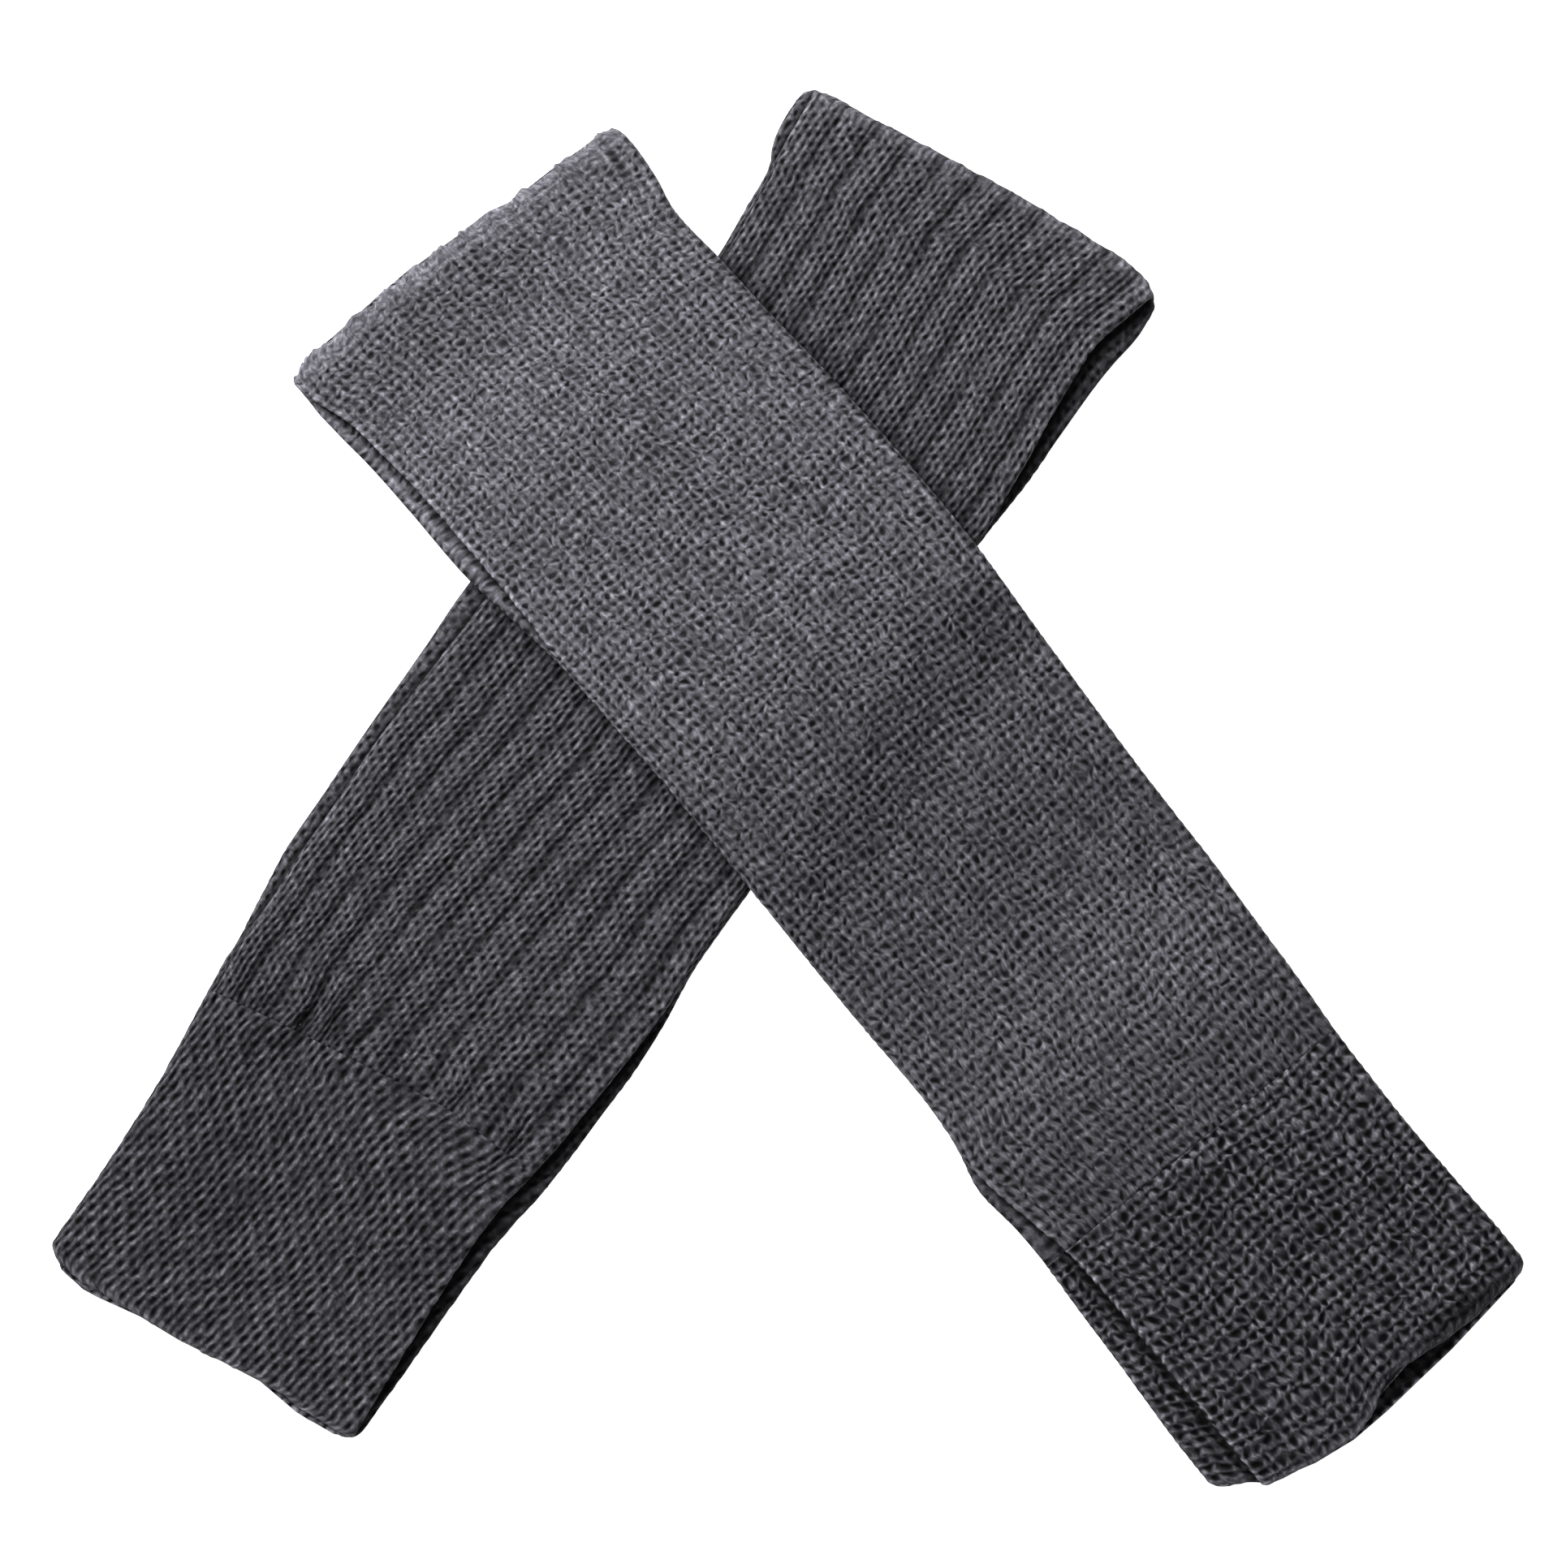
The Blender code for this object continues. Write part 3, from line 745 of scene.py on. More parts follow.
def ring_shares(piece):
    """How far along its piece each ring lies, as a share. The rings are spaced evenly in courses."""
    none = np.zeros(1)
    length = float((piece["end"](none, none) - piece["start"](none, none))[0])
    rings = piece["courses"] * piece["points"][3]
    fine = np.linspace(0, 1, 1001)
    even = np.interp(np.arange(rings + 1) / rings, knitted_share(piece, fine), fine)
    return np.sort(np.concatenate([even, to_open_end(piece, LIP_RINGS / length)]))


def hump(share):
    """0 at both sides of a panel, and 1 in its middle."""
    return 4 * share * (1 - share)


def lay_out(piece):
    """A piece before it is knitted: its rings and edges, and a grid of all that goes with each point."""
    cloth, shares = piece["cloth"], ring_shares(piece)
    edges = ring_edges(piece, shares)
    front, right, left, under = piece["wales"]
    per_front, per_side, under_steps, _ = piece["points"]
    right_far, right_high, right_relief, right_light = side_curves(
        *edges["right"], right * per_side, *RIGHT_LAP
    )
    left_far, left_high, left_relief, left_light = side_curves(
        *edges["left"], left * per_side, *piece["left_lap"]
    )
    over = np.arange(1, front * per_front) / (front * per_front)
    below = np.arange(1, under_steps) / under_steps
    front_across = right_far[:, -1:] - (right_far[:, -1:] + left_far[:, -1:]) * over
    under_across = -left_far[:, :1] + (left_far[:, :1] + right_far[:, :1]) * below

    # The wales lean a little to one side, and bend round the gathers
    none = np.zeros_like(shares)
    down = place_along(piece, shares, none, none)[:, None]
    front_across += hump(over) * read_table(cloth["lean"], down, 1)
    front_along = place_along(piece, shares[:, None], front_across, 1.0)
    front_across += swell(cloth["bends"], front_along, front_across) * smooth(2.5 * hump(over))

    def around(right_part, front_part, left_part, under_part):
        """Joins the four stretches of every ring: right fold, front, left fold and underside."""
        front_part = front_part * np.ones_like(front_across)
        under_part = under_part * np.ones_like(under_across)
        return np.concatenate([right_part, front_part, left_part[:, ::-1], under_part], axis=1)

    across = around(right_far, front_across, -left_far, under_across)
    wale = np.concatenate([
        front + right * np.linspace(1, 0, right * per_side + 1),
        front * (1 - over),
        -left * np.linspace(0, 1, left * per_side + 1),
        -left - under * below,
    ])
    grid = {
        "across": across,
        "high": around(right_high, THICKNESS, left_high, 0.0),
        "relief": around(right_relief, 1.0, left_relief, 0.0),
        "light": around(right_light, 1.0, left_light, 1.0),
        "on_front": around(0 * right_far, 1.0, 0 * left_far, 0.0),
        "wale": np.broadcast_to(wale, across.shape),
        "course": np.broadcast_to((knitted_share(piece, shares) * piece["courses"])[:, None], across.shape),
    }
    return shares, edges, grid


# %% [markdown]
# ## Light in the knit
#
# Knitting holds its own shadows: light hardly gets out of a groove, a slit or the mouth of a tube. Our
# stitches are coarser than real fibres and hold less of it. So the shade is painted in: we note at each
# point how much light it keeps, as an attribute that the yarn's material multiplies its colour by. The same
# attribute carries painted light along the legs, in patches, and on pale folds and edges. A texture image
# could hold it as well, but it would not follow when a size changes.

# %% The light that each point keeps
LIP = 1.3 * MM  # rounding of the cloth where it ends
# painted light on the rounded lip of an ankle end
LIP_GLOW = 0.5  # how much paler the rounded lip of an ankle end is
# painted light on the firm edge at a knee end, and painted shade in the dark lines across it
RIM_GLOW = 0.34  # how much paler the firm edge at a knee end is
RIM_LINE, RIM_LINE_SHADE = 0.16, 0.6  # half width of the dark lines across it, in wales, and their shade
RIM_LINE_CHOICE = 2.2  # how sharply some of those lines are picked out
# painted shade in the slits and pockets
SLIT_SHADE = 0.95
DARKEST_PATCH = 0.1
RIM_CLOSED = 0.9  # how far the holes are closed up in a firm edge
HOLES_OPEN, HOLES_RANGE = 0.88, 0.4  # how open the holes are, and how unlike each other
FUZZY_REACH = 120 * MM  # how far along the fuzz of the knee end fades out, between half and one and a half


def light_of_place(piece, along, across, wale, course, layer, slit, rim, to_end):
    """The painted light and shade of a point for where it lies: the yarn's tone with light along the leg,
    patches, slits and firm edges.
    """
    cloth = piece["cloth"]
    tone_and_light = read_table(cloth["tones_and_light"], along, 1) / MM
    painted_patches = 1 + swell(cloth["painted_patches"], along, across) / MM * layer
    if piece["is_leg"]:
        lines = np.exp(-(((wale - np.round(wale)) / RIM_LINE) ** 2))
        chosen = np.clip(RIM_LINE_CHOICE * unevenness(np.round(wale), 0 * course, LINE_SEED, piece), 0, 1)
        rim_light = 1 + rim * (RIM_GLOW - RIM_LINE_SHADE * lines * chosen)
    else:
        rim_light = 1 + LIP_GLOW * (to_end < LIP)
    return tone_and_light * np.maximum(painted_patches, DARKEST_PATCH) * (1 - SLIT_SHADE * slit) * rim_light


def open_holes(piece, along, wale, course, rim):
    """How open the holes between the loops are: less so in a firm edge, and at a fuzzy knee end."""
    varied = HOLES_OPEN + HOLES_RANGE * unevenness(wale, course, HOLE_SEED, piece)
    fuzz = piece["fuzzy_knee"] * smooth(1.5 - along / FUZZY_REACH)
    return (1 - RIM_CLOSED * rim) * np.clip(varied, 0, 1) * (1 - fuzz)


# %% Sweep the section along a piece
TOP_SHARE = 0.6  # a stitch's height that lies on the solid's own surface
DEPTH_RANGE = 0.3  # how unlike each other the stitches stand up
RIM_FLATTER = 0.5  # how much flatter the stitches of a firm edge are
SLIT_DEPTH = 1.2 * MM
SEAM_FADE = 1.6 * MM  # the relief dies out this close to the seam, so that leg and cuff meet flush
NEAR_TOP = 0.9  # share of the thickness above which the cloth faces up


def facing(points, layer):
    """The direction in which the surface faces at each point of a grid."""
    around, onward = np.roll(points, -1, axis=1) - np.roll(points, 1, axis=1), np.gradient(points, axis=0)
    normal = np.cross(around, onward)
    normal /= np.maximum(np.linalg.norm(normal, axis=2, keepdims=True), 1e-12)
    # The front panel always faces up, even where its points crowd together at a rounded corner
    normal[(layer > NEAR_TOP) & (normal[:, :, 2] < 0)] *= -1
    return normal


def outer_skin(name, piece):
    """The outer surface of a piece in its own frame, as a grid of points, with all that goes with them."""
    cloth = piece["cloth"]
    shares, edges, grid = lay_out(piece)
    across, high, relief, light, on_front, wale, course = grid.values()
    wale, course = uneven_stitches(piece, wale, course, relief)
    layer = high / THICKNESS
    along = place_along(piece, shares[:, None], across, layer)

    # Creases, slits and mouths bend the cloth before it is knitted
    slit = np.clip(-swell(cloth["slits"], along, across) / MM, 0, 1) * on_front
    crease = swell(cloth["creases"], along, across) - SLIT_DEPTH * slit
    if cloth is LOWER:
        crease = crease + gathers(piece, along, across)
        light = light * crossing_light(along, across)
    high = high + on_front * np.maximum(crease, -WALL / 2) + layer * swell(cloth["mouths"], along, across)
    if piece["drapes"]:
        high = high + drape_height(along, across)
    points = np.stack([along, across, high], axis=2)

    # Push the surface in and out along its own direction, stitch by stitch
    to_end = distance_to_end(piece, along, across, layer)
    rim_wide, rim_soft = piece["rim"]
    rim = smooth((rim_wide - to_end) / rim_soft)
    depth = read_table(piece["relief"], along, 1)
    depth = depth * (1 + DEPTH_RANGE * unevenness(wale, course, DEPTH_SEED, piece))
    push = depth * (1 - RIM_FLATTER * rim) * (stitch_height(wale, course, KNITS[name]) - TOP_SHARE)
    if name == "lower_leg":
        furrow_depth, furrow_light = furrows(piece, wale, course)
        push, light = push - furrow_depth, light * furrow_light
    to_seam = np.abs(along - read_table(cloth["seam_line"], across, 1))
    push = push * smooth(to_seam / SEAM_FADE)
    lip = LIP - np.sqrt(LIP**2 - (LIP - np.minimum(to_end, LIP)) ** 2)
    points = points + facing(points, layer) * ((push - lip) * relief)[:, :, None]

    light = light * light_of_place(piece, along, across, wale, course, layer, slit, rim, to_end)
    return points, wale, course, edges, shares, layer, light, open_holes(piece, along, wale, course, rim)


# %% [markdown]
# ## The inside, and the mesh
#
# The tubes are open at their ends, so a little of the inside shows there, in deep shade. Its stitches can't
# be seen, so it is a plain skin with few points. At each end, faces join the fine outer skin to the plain
# inner one, which closes the cloth.

# %% The inside of a tube
HOLLOW_ACROSS = 7  # stretches across the inside of a panel
RIM_LIGHT = 0.9  # what is left of the light on the cut edge of the cloth at its mouth
LAYERS_APART = 20 * MM  # keeps the rim's faces on their own panel


def inner_skin(piece, edges, shares):
    """The inside of the tube: two plain panels with a little air between them."""
    hollow_right = edges["right"][0] - edges["right"][1] - SIDE_WALL
    hollow_left = edges["left"][1] - edges["left"][0] + SIDE_WALL
    over = np.arange(HOLLOW_ACROSS + 1) / HOLLOW_ACROSS
    across = hollow_left[:, None] + (hollow_right - hollow_left)[:, None] * over
    back, front = 0 * across, 0 * across + 1
    far_right, far_left = hollow_right[:, None] + AIR, hollow_left[:, None] - AIR
    across = np.concatenate([across, far_right, across[:, ::-1], far_left], axis=1)
    layer = np.concatenate([back, back[:, :1] + 0.5, front, back[:, :1] + 0.5], axis=1)
    high = WALL + AIR * layer
    along = place_along(piece, shares[:, None], across, layer)
    high = high + layer * swell(piece["cloth"]["mouths"], along, across)
    if piece["drapes"]:
        high = high + drape_height(along, across)
    to_end = distance_to_end(piece, along, across, layer)
    dark, reach = piece["hollow"]
    light = dark + (RIM_LIGHT - dark) * np.exp(-((to_end / reach) ** 2))
    light *= 1 + np.maximum(swell(piece["cloth"]["slits"], along, across) / MM, -1)
    return np.stack([along, across, high], axis=2), layer, light


def rim_faces(outer_row, inner_row, outer_layer, inner_layer, first_outer, first_inner):
    """Closes one end of the cloth: each stretch of the inside meets the outer points that lie over it."""
    partners = []
    for spot, layer in zip(inner_row, inner_layer):
        away = np.abs(outer_row[:, 1] - spot[1]) + LAYERS_APART * np.abs(outer_layer - layer)
        partners.append(int(np.argmin(away)))
    faces = []
    for k, partner in enumerate(partners):
        following = (k + 1) % len(partners)
        stretch = (partners[following] - partner) % len(outer_row)
        run = [first_outer + (partner + step) % len(outer_row) for step in range(stretch + 1)]
        faces.append([first_inner + k, *run, first_inner + following])
    return faces


# %% Make the mesh
HALF_WIDE = 60 * MM  # half the width that the inside's map is counted over


def grid_faces(first, rings, wide):
    """The quads between neighbouring rings of points, each ring closed round the tube."""
    ring, column = np.meshgrid(np.arange(rings - 1), np.arange(wide), indexing="ij")
    here = first + ring * wide + column
    beside = first + ring * wide + (column + 1) % wide
    return np.stack([here, beside, beside + wide, here + wide], axis=-1).reshape(-1, 4)


def stitch_map(mesh, counts, around):
    """The UV map counts wales and courses. The count jumps once round the tube, underneath."""
    corners = np.empty(len(mesh.loops), dtype=np.int32)
    mesh.loops.foreach_get("vertex_index", corners)
    stitches = counts[corners]
    starts = np.empty(len(mesh.polygons), dtype=np.int32)
    sizes = np.empty(len(mesh.polygons), dtype=np.int32)
    mesh.polygons.foreach_get("loop_start", starts)
    mesh.polygons.foreach_get("loop_total", sizes)
    face_of_corner = np.repeat(np.arange(len(starts)), sizes)
    lowest = np.minimum.reduceat(stitches[:, 0], starts)[face_of_corner]
    highest = np.maximum.reduceat(stitches[:, 0], starts)[face_of_corner]
    wraps = (highest - lowest > around / 2) & (stitches[:, 0] > lowest + around / 2)
    stitches[wraps, 0] -= around
    mesh.uv_layers.new(name="stitches").data.foreach_set("uv", stitches.astype(np.float32).ravel())
    return int((sizes - 2).sum())


def face_outward(mesh):
    """Turns every face of a closed mesh to the outside."""
    turning = bmesh.new()
    turning.from_mesh(mesh)
    bmesh.ops.recalc_face_normals(turning, faces=turning.faces)
    turning.to_mesh(mesh)
    turning.free()


def build_shell(name, piece):
    """The closed shell of one knitted piece, in the world, with its stitches as real relief."""
    outer, wale, course, edges, shares, layer, light, gaps = outer_skin(name, piece)
    inner, inner_layer, inner_light = inner_skin(piece, edges, shares)
    rings, columns = outer.shape[:2]
    inner_columns = inner.shape[1]
    first_inner = rings * columns
    matrix = np.array(frame_of(piece["cloth"]))
    points = np.concatenate([outer.reshape(-1, 3), inner.reshape(-1, 3)])
    points = points @ matrix[:3, :3].T + matrix[:3, 3]
    faces = grid_faces(0, rings, columns).tolist()
    faces += grid_faces(first_inner, rings, inner_columns)[:, ::-1].tolist()
    seam_ring = rings - 1 if piece["is_leg"] else 0
    for ring in (rings - 1 - seam_ring, seam_ring):
        starts = (ring * columns, first_inner + ring * inner_columns)
        seam_faces = rim_faces(outer[ring], inner[ring], layer[ring], inner_layer[ring], *starts)
        faces += seam_faces
    mesh = bpy.data.meshes.new(name + "_knit")
    mesh.from_pydata(points.tolist(), [], faces)

    inner_wale = np.interp(inner[:, :, 1], [-HALF_WIDE, HALF_WIDE], [0, piece["wales"][0]])
    inner_course = np.broadcast_to((shares * piece["courses"])[:, None], inner_wale.shape)
    counts = np.concatenate([
        np.stack([wale, course], axis=2).reshape(-1, 2),
        np.stack([inner_wale, inner_course], axis=2).reshape(-1, 2),
    ])
    triangles = stitch_map(mesh, counts, sum(piece["wales"]))
    inner_gaps = np.ones_like(inner_light)
    for title, outside, inside in (("light", light, inner_light), ("gaps", gaps, inner_gaps)):
        values = np.concatenate([outside.ravel(), inside.ravel()])
        mesh.attributes.new(title, "FLOAT", "POINT").data.foreach_set("value", values.astype(np.float32))

    face_outward(mesh)
    mesh.shade_smooth()
    # The cut faces at the seam stay flat, or the surface would shade as if it turned down into the seam
    for face in mesh.polygons[len(faces) - len(seam_faces) :]:
        face.use_smooth = False
    shell = bpy.data.objects.new(name + "_knit", mesh)
    bpy.context.scene.collection.objects.link(shell)
    print(name, "has", piece["courses"], "courses and", triangles, "triangles")
    return shell


shells = {name: build_shell(name, piece) for name, piece in PIECES.items()}

# %% [markdown]
# ## The yarn
#
# The real yarn is charcoal acrylic marl: dark and light grey fibres are carded together before spinning,
# so each strand is flecked, dull and a little hairy. A photo texture would fix the stitches to one size.
# We count stitches instead: the UV map gives wales and courses, and a few sums turn these into the same
# crossed waves that the relief has. Hardly any light gets out of the holes between the loops, so the
# colour falls to near black there.

# %% Two small helpers
def linear(hex_colour):
    """An sRGB hex colour as the linear colour that a shader needs."""
    parts = [int(hex_colour[at : at + 2], 16) / 255 for at in (1, 3, 5)]
    parts = [part / 12.92 if part <= 0.04045 else ((part + 0.055) / 1.055) ** 2.4 for part in parts]
    return (*parts, 1.0)


def add_node(tree, kind, inputs=(), **settings):
    """Adds a node. Inputs pairs each socket with a value, or with the output socket that feeds it."""
    node = tree.nodes.new(kind)
    for setting, value in settings.items():
        setattr(node, setting, value)
    for socket, value in dict(inputs).items():
        if isinstance(value, bpy.types.NodeSocket):
            tree.links.new(value, node.inputs[socket])
        else:
            node.inputs[socket].default_value = value
    return node


# %% The stitch as a chain of sums
# name, operation, terms. A term is a number, or the name of an earlier sum.
STITCH_SUMS = [
    # Each stitch strays a little from its place
    ("aside", "SUBTRACT", "chance_across", 0.5),
    ("own_wale", "MULTIPLY_ADD", "aside", "stray", "wale"),
    ("ahead", "SUBTRACT", "chance_along", 0.5),
    ("own_course", "MULTIPLY_ADD", "ahead", "stray", "course"),
    # The same waves as in stitch_height
    ("strand_count", "MULTIPLY", "own_wale", "strands"),
    ("column", "MULTIPLY_ADD", "own_course", "slant", "strand_count"),
    ("column_turn", "MULTIPLY", "column", TURN),
    ("lines", "COSINE", "column_turn"),
    ("row", "MULTIPLY_ADD", "lines", "bend", "own_course"),
    ("row_turn", "MULTIPLY", "row", TURN),
    ("row_wave", "COSINE", "row_turn"),
    ("stepped_turn", "MULTIPLY", "column_turn", "step"),
    ("head_turn", "SUBTRACT", "stepped_turn", "shift"),
    ("head_wave", "COSINE", "head_turn"),
    ("heads", "MULTIPLY", "head_wave", "row_wave"),
    ("head_height", "MULTIPLY_ADD", "heads", "head", 0.5),
    ("even_yarn", "MULTIPLY_ADD", "lines", "line", "head_height"),
    # Fuzz fills one place and leaves another bare
    ("up", "SUBTRACT", "chance_up", 0.5),
    ("uneven_yarn", "MULTIPLY_ADD", "up", "fuzz", "even_yarn"),
    ("yarn", "MAXIMUM", "uneven_yarn", 0.0),
    # Which loop this is: the nearest line, and the nearest head on it
    ("loop_column", "ROUND", "column"),
    ("loop_place", "MULTIPLY_ADD", "loop_column", "step", "row"),
    ("loop_row", "ROUND", "loop_place"),
    # Which hole this is: between which two lines, and how far along them
    ("hole_column", "FLOOR", "column"),
    ("hole_place", "MULTIPLY_ADD", "hole_column", "step", "row"),
    ("hole_row", "FLOOR", "hole_place"),
]


def add_sums(tree, sums, known):
    """Adds one Math node for each row of a table of sums, and returns every result by its name."""
    known = dict(known)
    for result, operation, *terms in sums:
        values = {at: known.get(term, term) for at, term in enumerate(terms)}
        known[result] = add_node(tree, "ShaderNodeMath", values, operation=operation).outputs[0]
    return known


# %% Charcoal acrylic marl yarn
DARK_FIBRE = "#2e2d32"
LIGHT_FIBRE = "#68676e"
FLECK = "#a09fa7"
GAP_SHADE = 0.02  # what is left of the yarn's colour at the bottom of a gap
FIBRES_ACROSS, FIBRES_ALONG = 0.9, 0.7  # flecks in a millimetre
CHANCES_IN_STITCH = 1.4  # how often the yarn changes its mind, in a stitch
# painted light on the head of a loop, and painted shade on its foot
MID_YARN = 0.6  # above this height a loop is paler than its own colour, and below it darker
ROUNDNESS, FIBRE_BUMP = 0.6, 0.08  # how blunt the yarn is, and how far its fibres stand up beside that
YARN_BUMP = 0.4 * MM


def acrylic_marl_yarn(name, wale_mm, course_mm, gap_edge, own_range, fuzzed, stray, fuzz, head_glow):
    """A dull marl yarn, knitted in the stitch of one piece. Wales and courses are in millimetres."""
    material = bpy.data.materials.new("acrylic_marl_yarn_" + name)
    material.use_nodes = True
    tree = material.node_tree
    shader = tree.nodes["Principled BSDF"]

    counts = add_node(tree, "ShaderNodeUVMap", uv_map="stitches").outputs["UV"]
    split = add_node(tree, "ShaderNodeSeparateXYZ", {0: counts})
    known = {"wale": split.outputs["X"], "course": split.outputs["Y"], "stray": stray, "fuzz": fuzz}
    known.update(zip(KNIT_WORDS, KNITS[name]))
    soft = {"Vector": counts, "Scale": CHANCES_IN_STITCH, "Detail": 0.0}
    chances = add_node(tree, "ShaderNodeTexNoise", soft, noise_dimensions="2D").outputs["Color"]
    chances = add_node(tree, "ShaderNodeSeparateXYZ", {0: chances}).outputs
    known.update(chance_across=chances["X"], chance_along=chances["Y"], chance_up=chances["Z"])
    stitch = add_sums(tree, STITCH_SUMS, known)

    # Fibres run along the yarn, so the flecks are longer along a wale than across it: 1.4 by 1.1 mm.
    # Real fibres are 0.02 mm thick. They are drawn this coarse to show at all.
    size = {0: counts, 1: (wale_mm * FIBRES_ACROSS, course_mm * FIBRES_ALONG, 1)}
    places = add_node(tree, "ShaderNodeVectorMath", size, operation="MULTIPLY").outputs[0]
    noise = {"Vector": places, "Scale": 1.0, "Detail": 1.5}
    fibres = add_node(tree, "ShaderNodeTexNoise", noise, noise_dimensions="2D").outputs["Fac"]
    marl = add_node(tree, "ShaderNodeValToRGB", {"Fac": fibres})
    stops = marl.color_ramp.elements
    stops[0].position, stops[0].color = 0.05, linear(DARK_FIBRE)
    stops[1].position, stops[1].color = 0.50, linear(LIGHT_FIBRE)
    stops.new(0.95).color = linear(FLECK)

    # Every loop takes the light a little differently, and some holes are nearly closed by fuzz
    place = {"X": stitch["loop_column"], "Y": stitch["loop_row"]}
    cell = add_node(tree, "ShaderNodeCombineXYZ", place).outputs[0]
    chance = add_node(tree, "ShaderNodeTexWhiteNoise", {"Vector": cell}, noise_dimensions="2D")
    own = {"Value": chance.outputs["Value"], "To Min": 1 - own_range, "To Max": 1 + own_range}
    own_shade = add_node(tree, "ShaderNodeMapRange", own).outputs[0]
    place = {"X": stitch["hole_column"], "Y": stitch["hole_row"]}
    hole = add_node(tree, "ShaderNodeCombineXYZ", place).outputs[0]
    chance = add_node(tree, "ShaderNodeTexWhiteNoise", {"Vector": hole}, noise_dimensions="2D")
    open_hole = {"Value": chance.outputs["Value"], "To Min": fuzzed, "To Max": 1.0}
    hole_open = add_node(tree, "ShaderNodeMapRange", open_hole).outputs[0]

    # Painted shade: the holes between the loops are nearly black, and the light attribute darkens grooves
    # and mouths. Painted light makes each loop's head paler than its foot.
    gaps = add_node(tree, "ShaderNodeAttribute", attribute_name="gaps").outputs["Fac"]
    light = add_node(tree, "ShaderNodeAttribute", attribute_name="light").outputs["Fac"]
    rise = {"Value": stitch["yarn"], "From Max": gap_edge, "To Min": 1 - GAP_SHADE, "To Max": 0.0}
    depth = add_node(tree, "ShaderNodeMapRange", rise, interpolation_type="SMOOTHSTEP").outputs[0]
    shade_sums = [
        ("dark_hole", "MULTIPLY", "depth", "hole_open"),
        ("darkened", "MULTIPLY", "dark_hole", "gaps"),
        ("open", "SUBTRACT", 1.0, "darkened"),
        ("above", "SUBTRACT", "yarn", MID_YARN),
        ("glow", "MULTIPLY", "gaps", head_glow),
        ("painted_head_light", "MULTIPLY_ADD", "above", "glow", 1.0),
        ("painted_head_and_own_shade", "MULTIPLY", "painted_head_light", "own_shade"),
        ("stitch_shade", "MULTIPLY", "open", "painted_head_and_own_shade"),
        ("shade", "MULTIPLY", "stitch_shade", "light"),
    ]
    known = {"depth": depth, "gaps": gaps, "own_shade": own_shade, "light": light, "yarn": stitch["yarn"]}
    known["hole_open"] = hole_open
    shade = add_sums(tree, shade_sums, known)["shade"]
    dyed = {0: marl.outputs["Color"], "Scale": shade}
    colour = add_node(tree, "ShaderNodeVectorMath", dyed, operation="SCALE").outputs[0]
    tree.links.new(colour, shader.inputs["Base Color"])

    # The yarn is round, and its fibres stand up a little
    known = {"yarn": stitch["yarn"], "fibres": fibres}
    bump_sums = [
        ("round", "POWER", "yarn", ROUNDNESS),
        ("height", "MULTIPLY_ADD", "fibres", FIBRE_BUMP, "round"),
    ]
    height = add_sums(tree, bump_sums, known)["height"]
    bump = add_node(tree, "ShaderNodeBump", {"Height": height, "Strength": 1.0, "Distance": YARN_BUMP})
    tree.links.new(bump.outputs[0], shader.inputs["Normal"])

    shader.inputs["Roughness"].default_value = 0.9
    shader.inputs["Specular IOR Level"].default_value = 0.08
    shader.inputs["Sheen Weight"].default_value = 0.02
    shader.inputs["Sheen Roughness"].default_value = 0.6
    print("Made", material.name, "with", len(tree.nodes), "nodes")
    return material


# wale_mm, course_mm: the size of one stitch
# gap_edge: how high up a loop its own colour starts
# own_range: how unlike the loops are
# fuzzed: how dark the hole is that fuzz has closed most
# stray, fuzz: how far the stitches stray, in stitches, and how much the fuzz stands up
# head_glow: painted light and shade on a loop, how much paler its head is than its foot
STITCH_SIZES = {
    "upper_leg": (3.0, 2.93, 0.46, 0.26, 0.60, 0.34, 0.26, 1.3),
    "upper_cuff": (3.65, 3.45, 0.74, 0.34, 0.80, 0.34, 0.22, 1.7),
    "lower_leg": (4.35, 3.95, 0.46, 0.32, 0.55, 0.08, 0.25, 1.3),
    "lower_cuff": (5.35, 5.1, 0.48, 0.38, 0.60, 0.08, 0.25, 1.3),
}
YARNS = {name: acrylic_marl_yarn(name, *size) for name, size in STITCH_SIZES.items()}

# %% [markdown]
# ## Put the pieces in their places
#
# The cloth doesn't move, so every piece rides on the one body. Each shell takes the place of its own solid,
# which is hidden. The table lists each piece's slot, how big the cloth was before it was laid down (a tube
# opened out flat, all round) and what it lies on, but nothing reads these.

# %% Ride and replace
# name: slot, flat width and length, what the piece lies on
CLOTH = {
    "upper_leg": ("leg_yarn", (0.232, 0.339), ["lower_leg_knit"]),
    "upper_cuff": ("cuff_yarn", (0.238, 0.093), []),
    "lower_leg": ("leg_yarn", (0.232, 0.316), []),
    "lower_cuff": ("cuff_yarn", (0.222, 0.096), []),
}
for name, (slot, flat, under) in CLOTH.items():
    shell = shells[name]
    shell.data.materials.append(YARNS[name])
    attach(shell, "root")
    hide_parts(name)

# %% [markdown]
# ## Table, light and camera
#
# A flat knit needs light that comes in low from one side, or its stitches don't show. One large soft lamp
# stands at the upper left, and the room fills in the rest. The camera looks straight down from far off, so
# that both leg warmers keep their real outline.

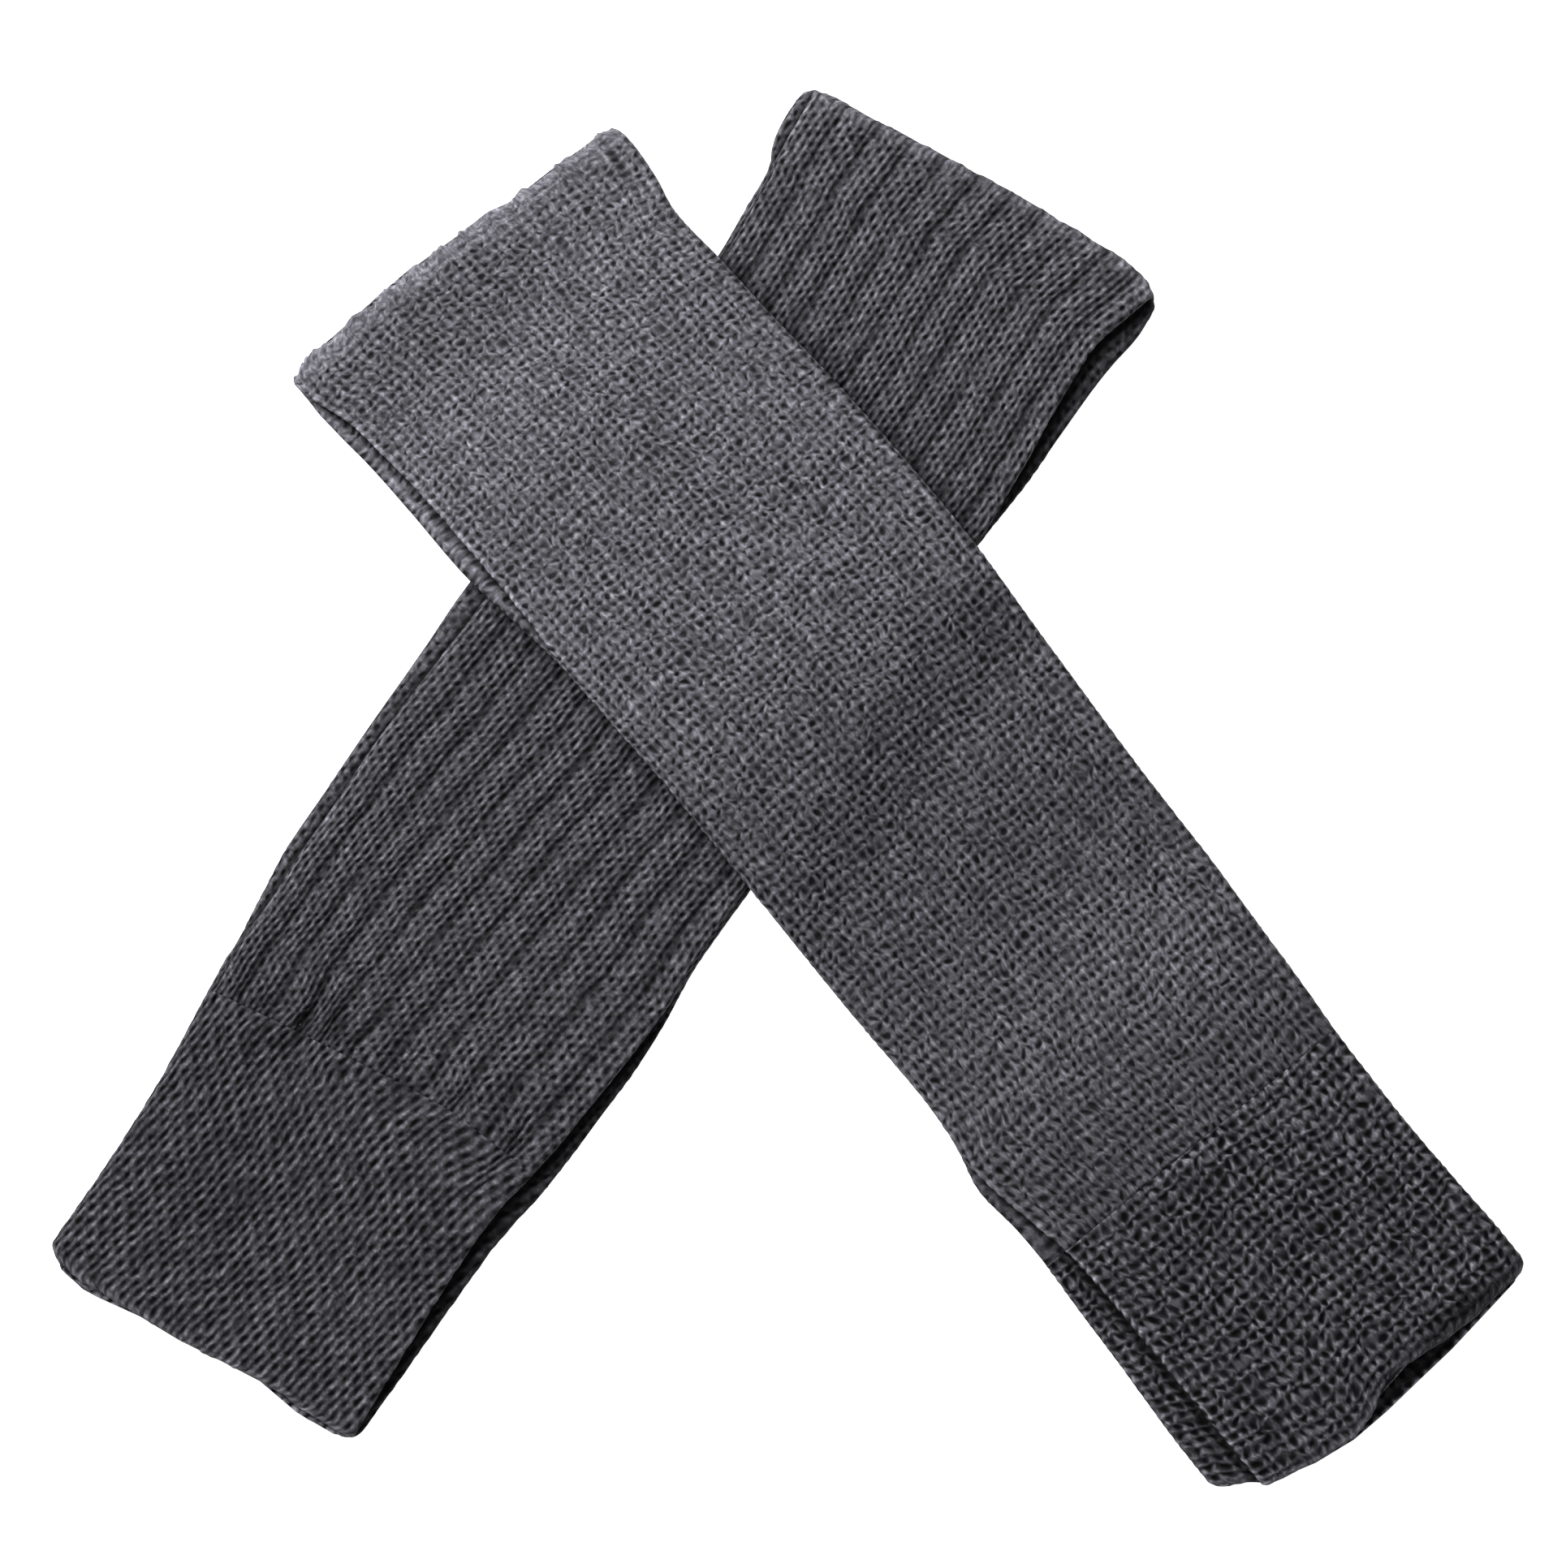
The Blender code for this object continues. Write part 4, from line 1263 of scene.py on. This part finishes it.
# %% A plain pale table
TABLE_WIDE = 6  # metres, so that its edges are never seen
TABLE_DROP = 0.2 * MM  # keeps the table and the underside of the cloth out of one plane
bpy.ops.mesh.primitive_plane_add(size=TABLE_WIDE, location=(0, 0, -TABLE_DROP))
table = bpy.context.object
table.name = "table"
paint = bpy.data.materials.new("matt_white_paint")
paint.use_nodes = True
paint_shader = paint.node_tree.nodes["Principled BSDF"]
paint_shader.inputs["Base Color"].default_value = linear("#f4f4f4")
paint_shader.inputs["Roughness"].default_value = 0.9
# A product table is lit from below too, which thins the shadows
paint_shader.inputs["Emission Color"].default_value = (1, 1, 1, 1)
paint_shader.inputs["Emission Strength"].default_value = 0.85
table.data.materials.append(paint)
print("The table is", TABLE_WIDE, "m wide")

# %% Soft studio light
KEY_FROM = Vector((-1.0, 1.0, 1.05))
lamp = bpy.data.lights.new("soft_lamp", "AREA")
lamp.shape = "DISK"
lamp.size = 0.7
lamp.energy = 50
key = bpy.data.objects.new("soft_lamp", lamp)
key.location = KEY_FROM
key.rotation_euler = (-KEY_FROM).to_track_quat("-Z", "Y").to_euler()
bpy.context.scene.collection.objects.link(key)
room = bpy.data.worlds.new("room")
bpy.context.scene.world = room
room.use_nodes = True
room.node_tree.nodes["Background"].inputs["Color"].default_value = (1, 1, 1, 1)
room.node_tree.nodes["Background"].inputs["Strength"].default_value = 0.42
print("The lamp stands", round(KEY_FROM.length, 2), "m from the cloth")

# %% Camera straight above
FRAME_HIGH = 455.4 * MM  # what the picture shows from its top to its bottom, on the table
FRAME_MIDDLE = Vector((-1.43 * MM, 0.89 * MM, 0))
LENS_MM, SENSOR_MM = 135, 36  # a long lens, far off
camera_data = bpy.data.cameras.new("camera")
camera_data.lens = LENS_MM
camera_data.sensor_width = SENSOR_MM
distance = FRAME_HIGH * LENS_MM / SENSOR_MM
camera = bpy.data.objects.new("camera", camera_data)
camera.location = FRAME_MIDDLE + Vector((0, 0, distance))
bpy.context.scene.collection.objects.link(camera)
bpy.context.scene.camera = camera
bpy.context.scene.view_settings.view_transform = "Standard"
print("The camera stands", round(distance, 2), "m above the table")
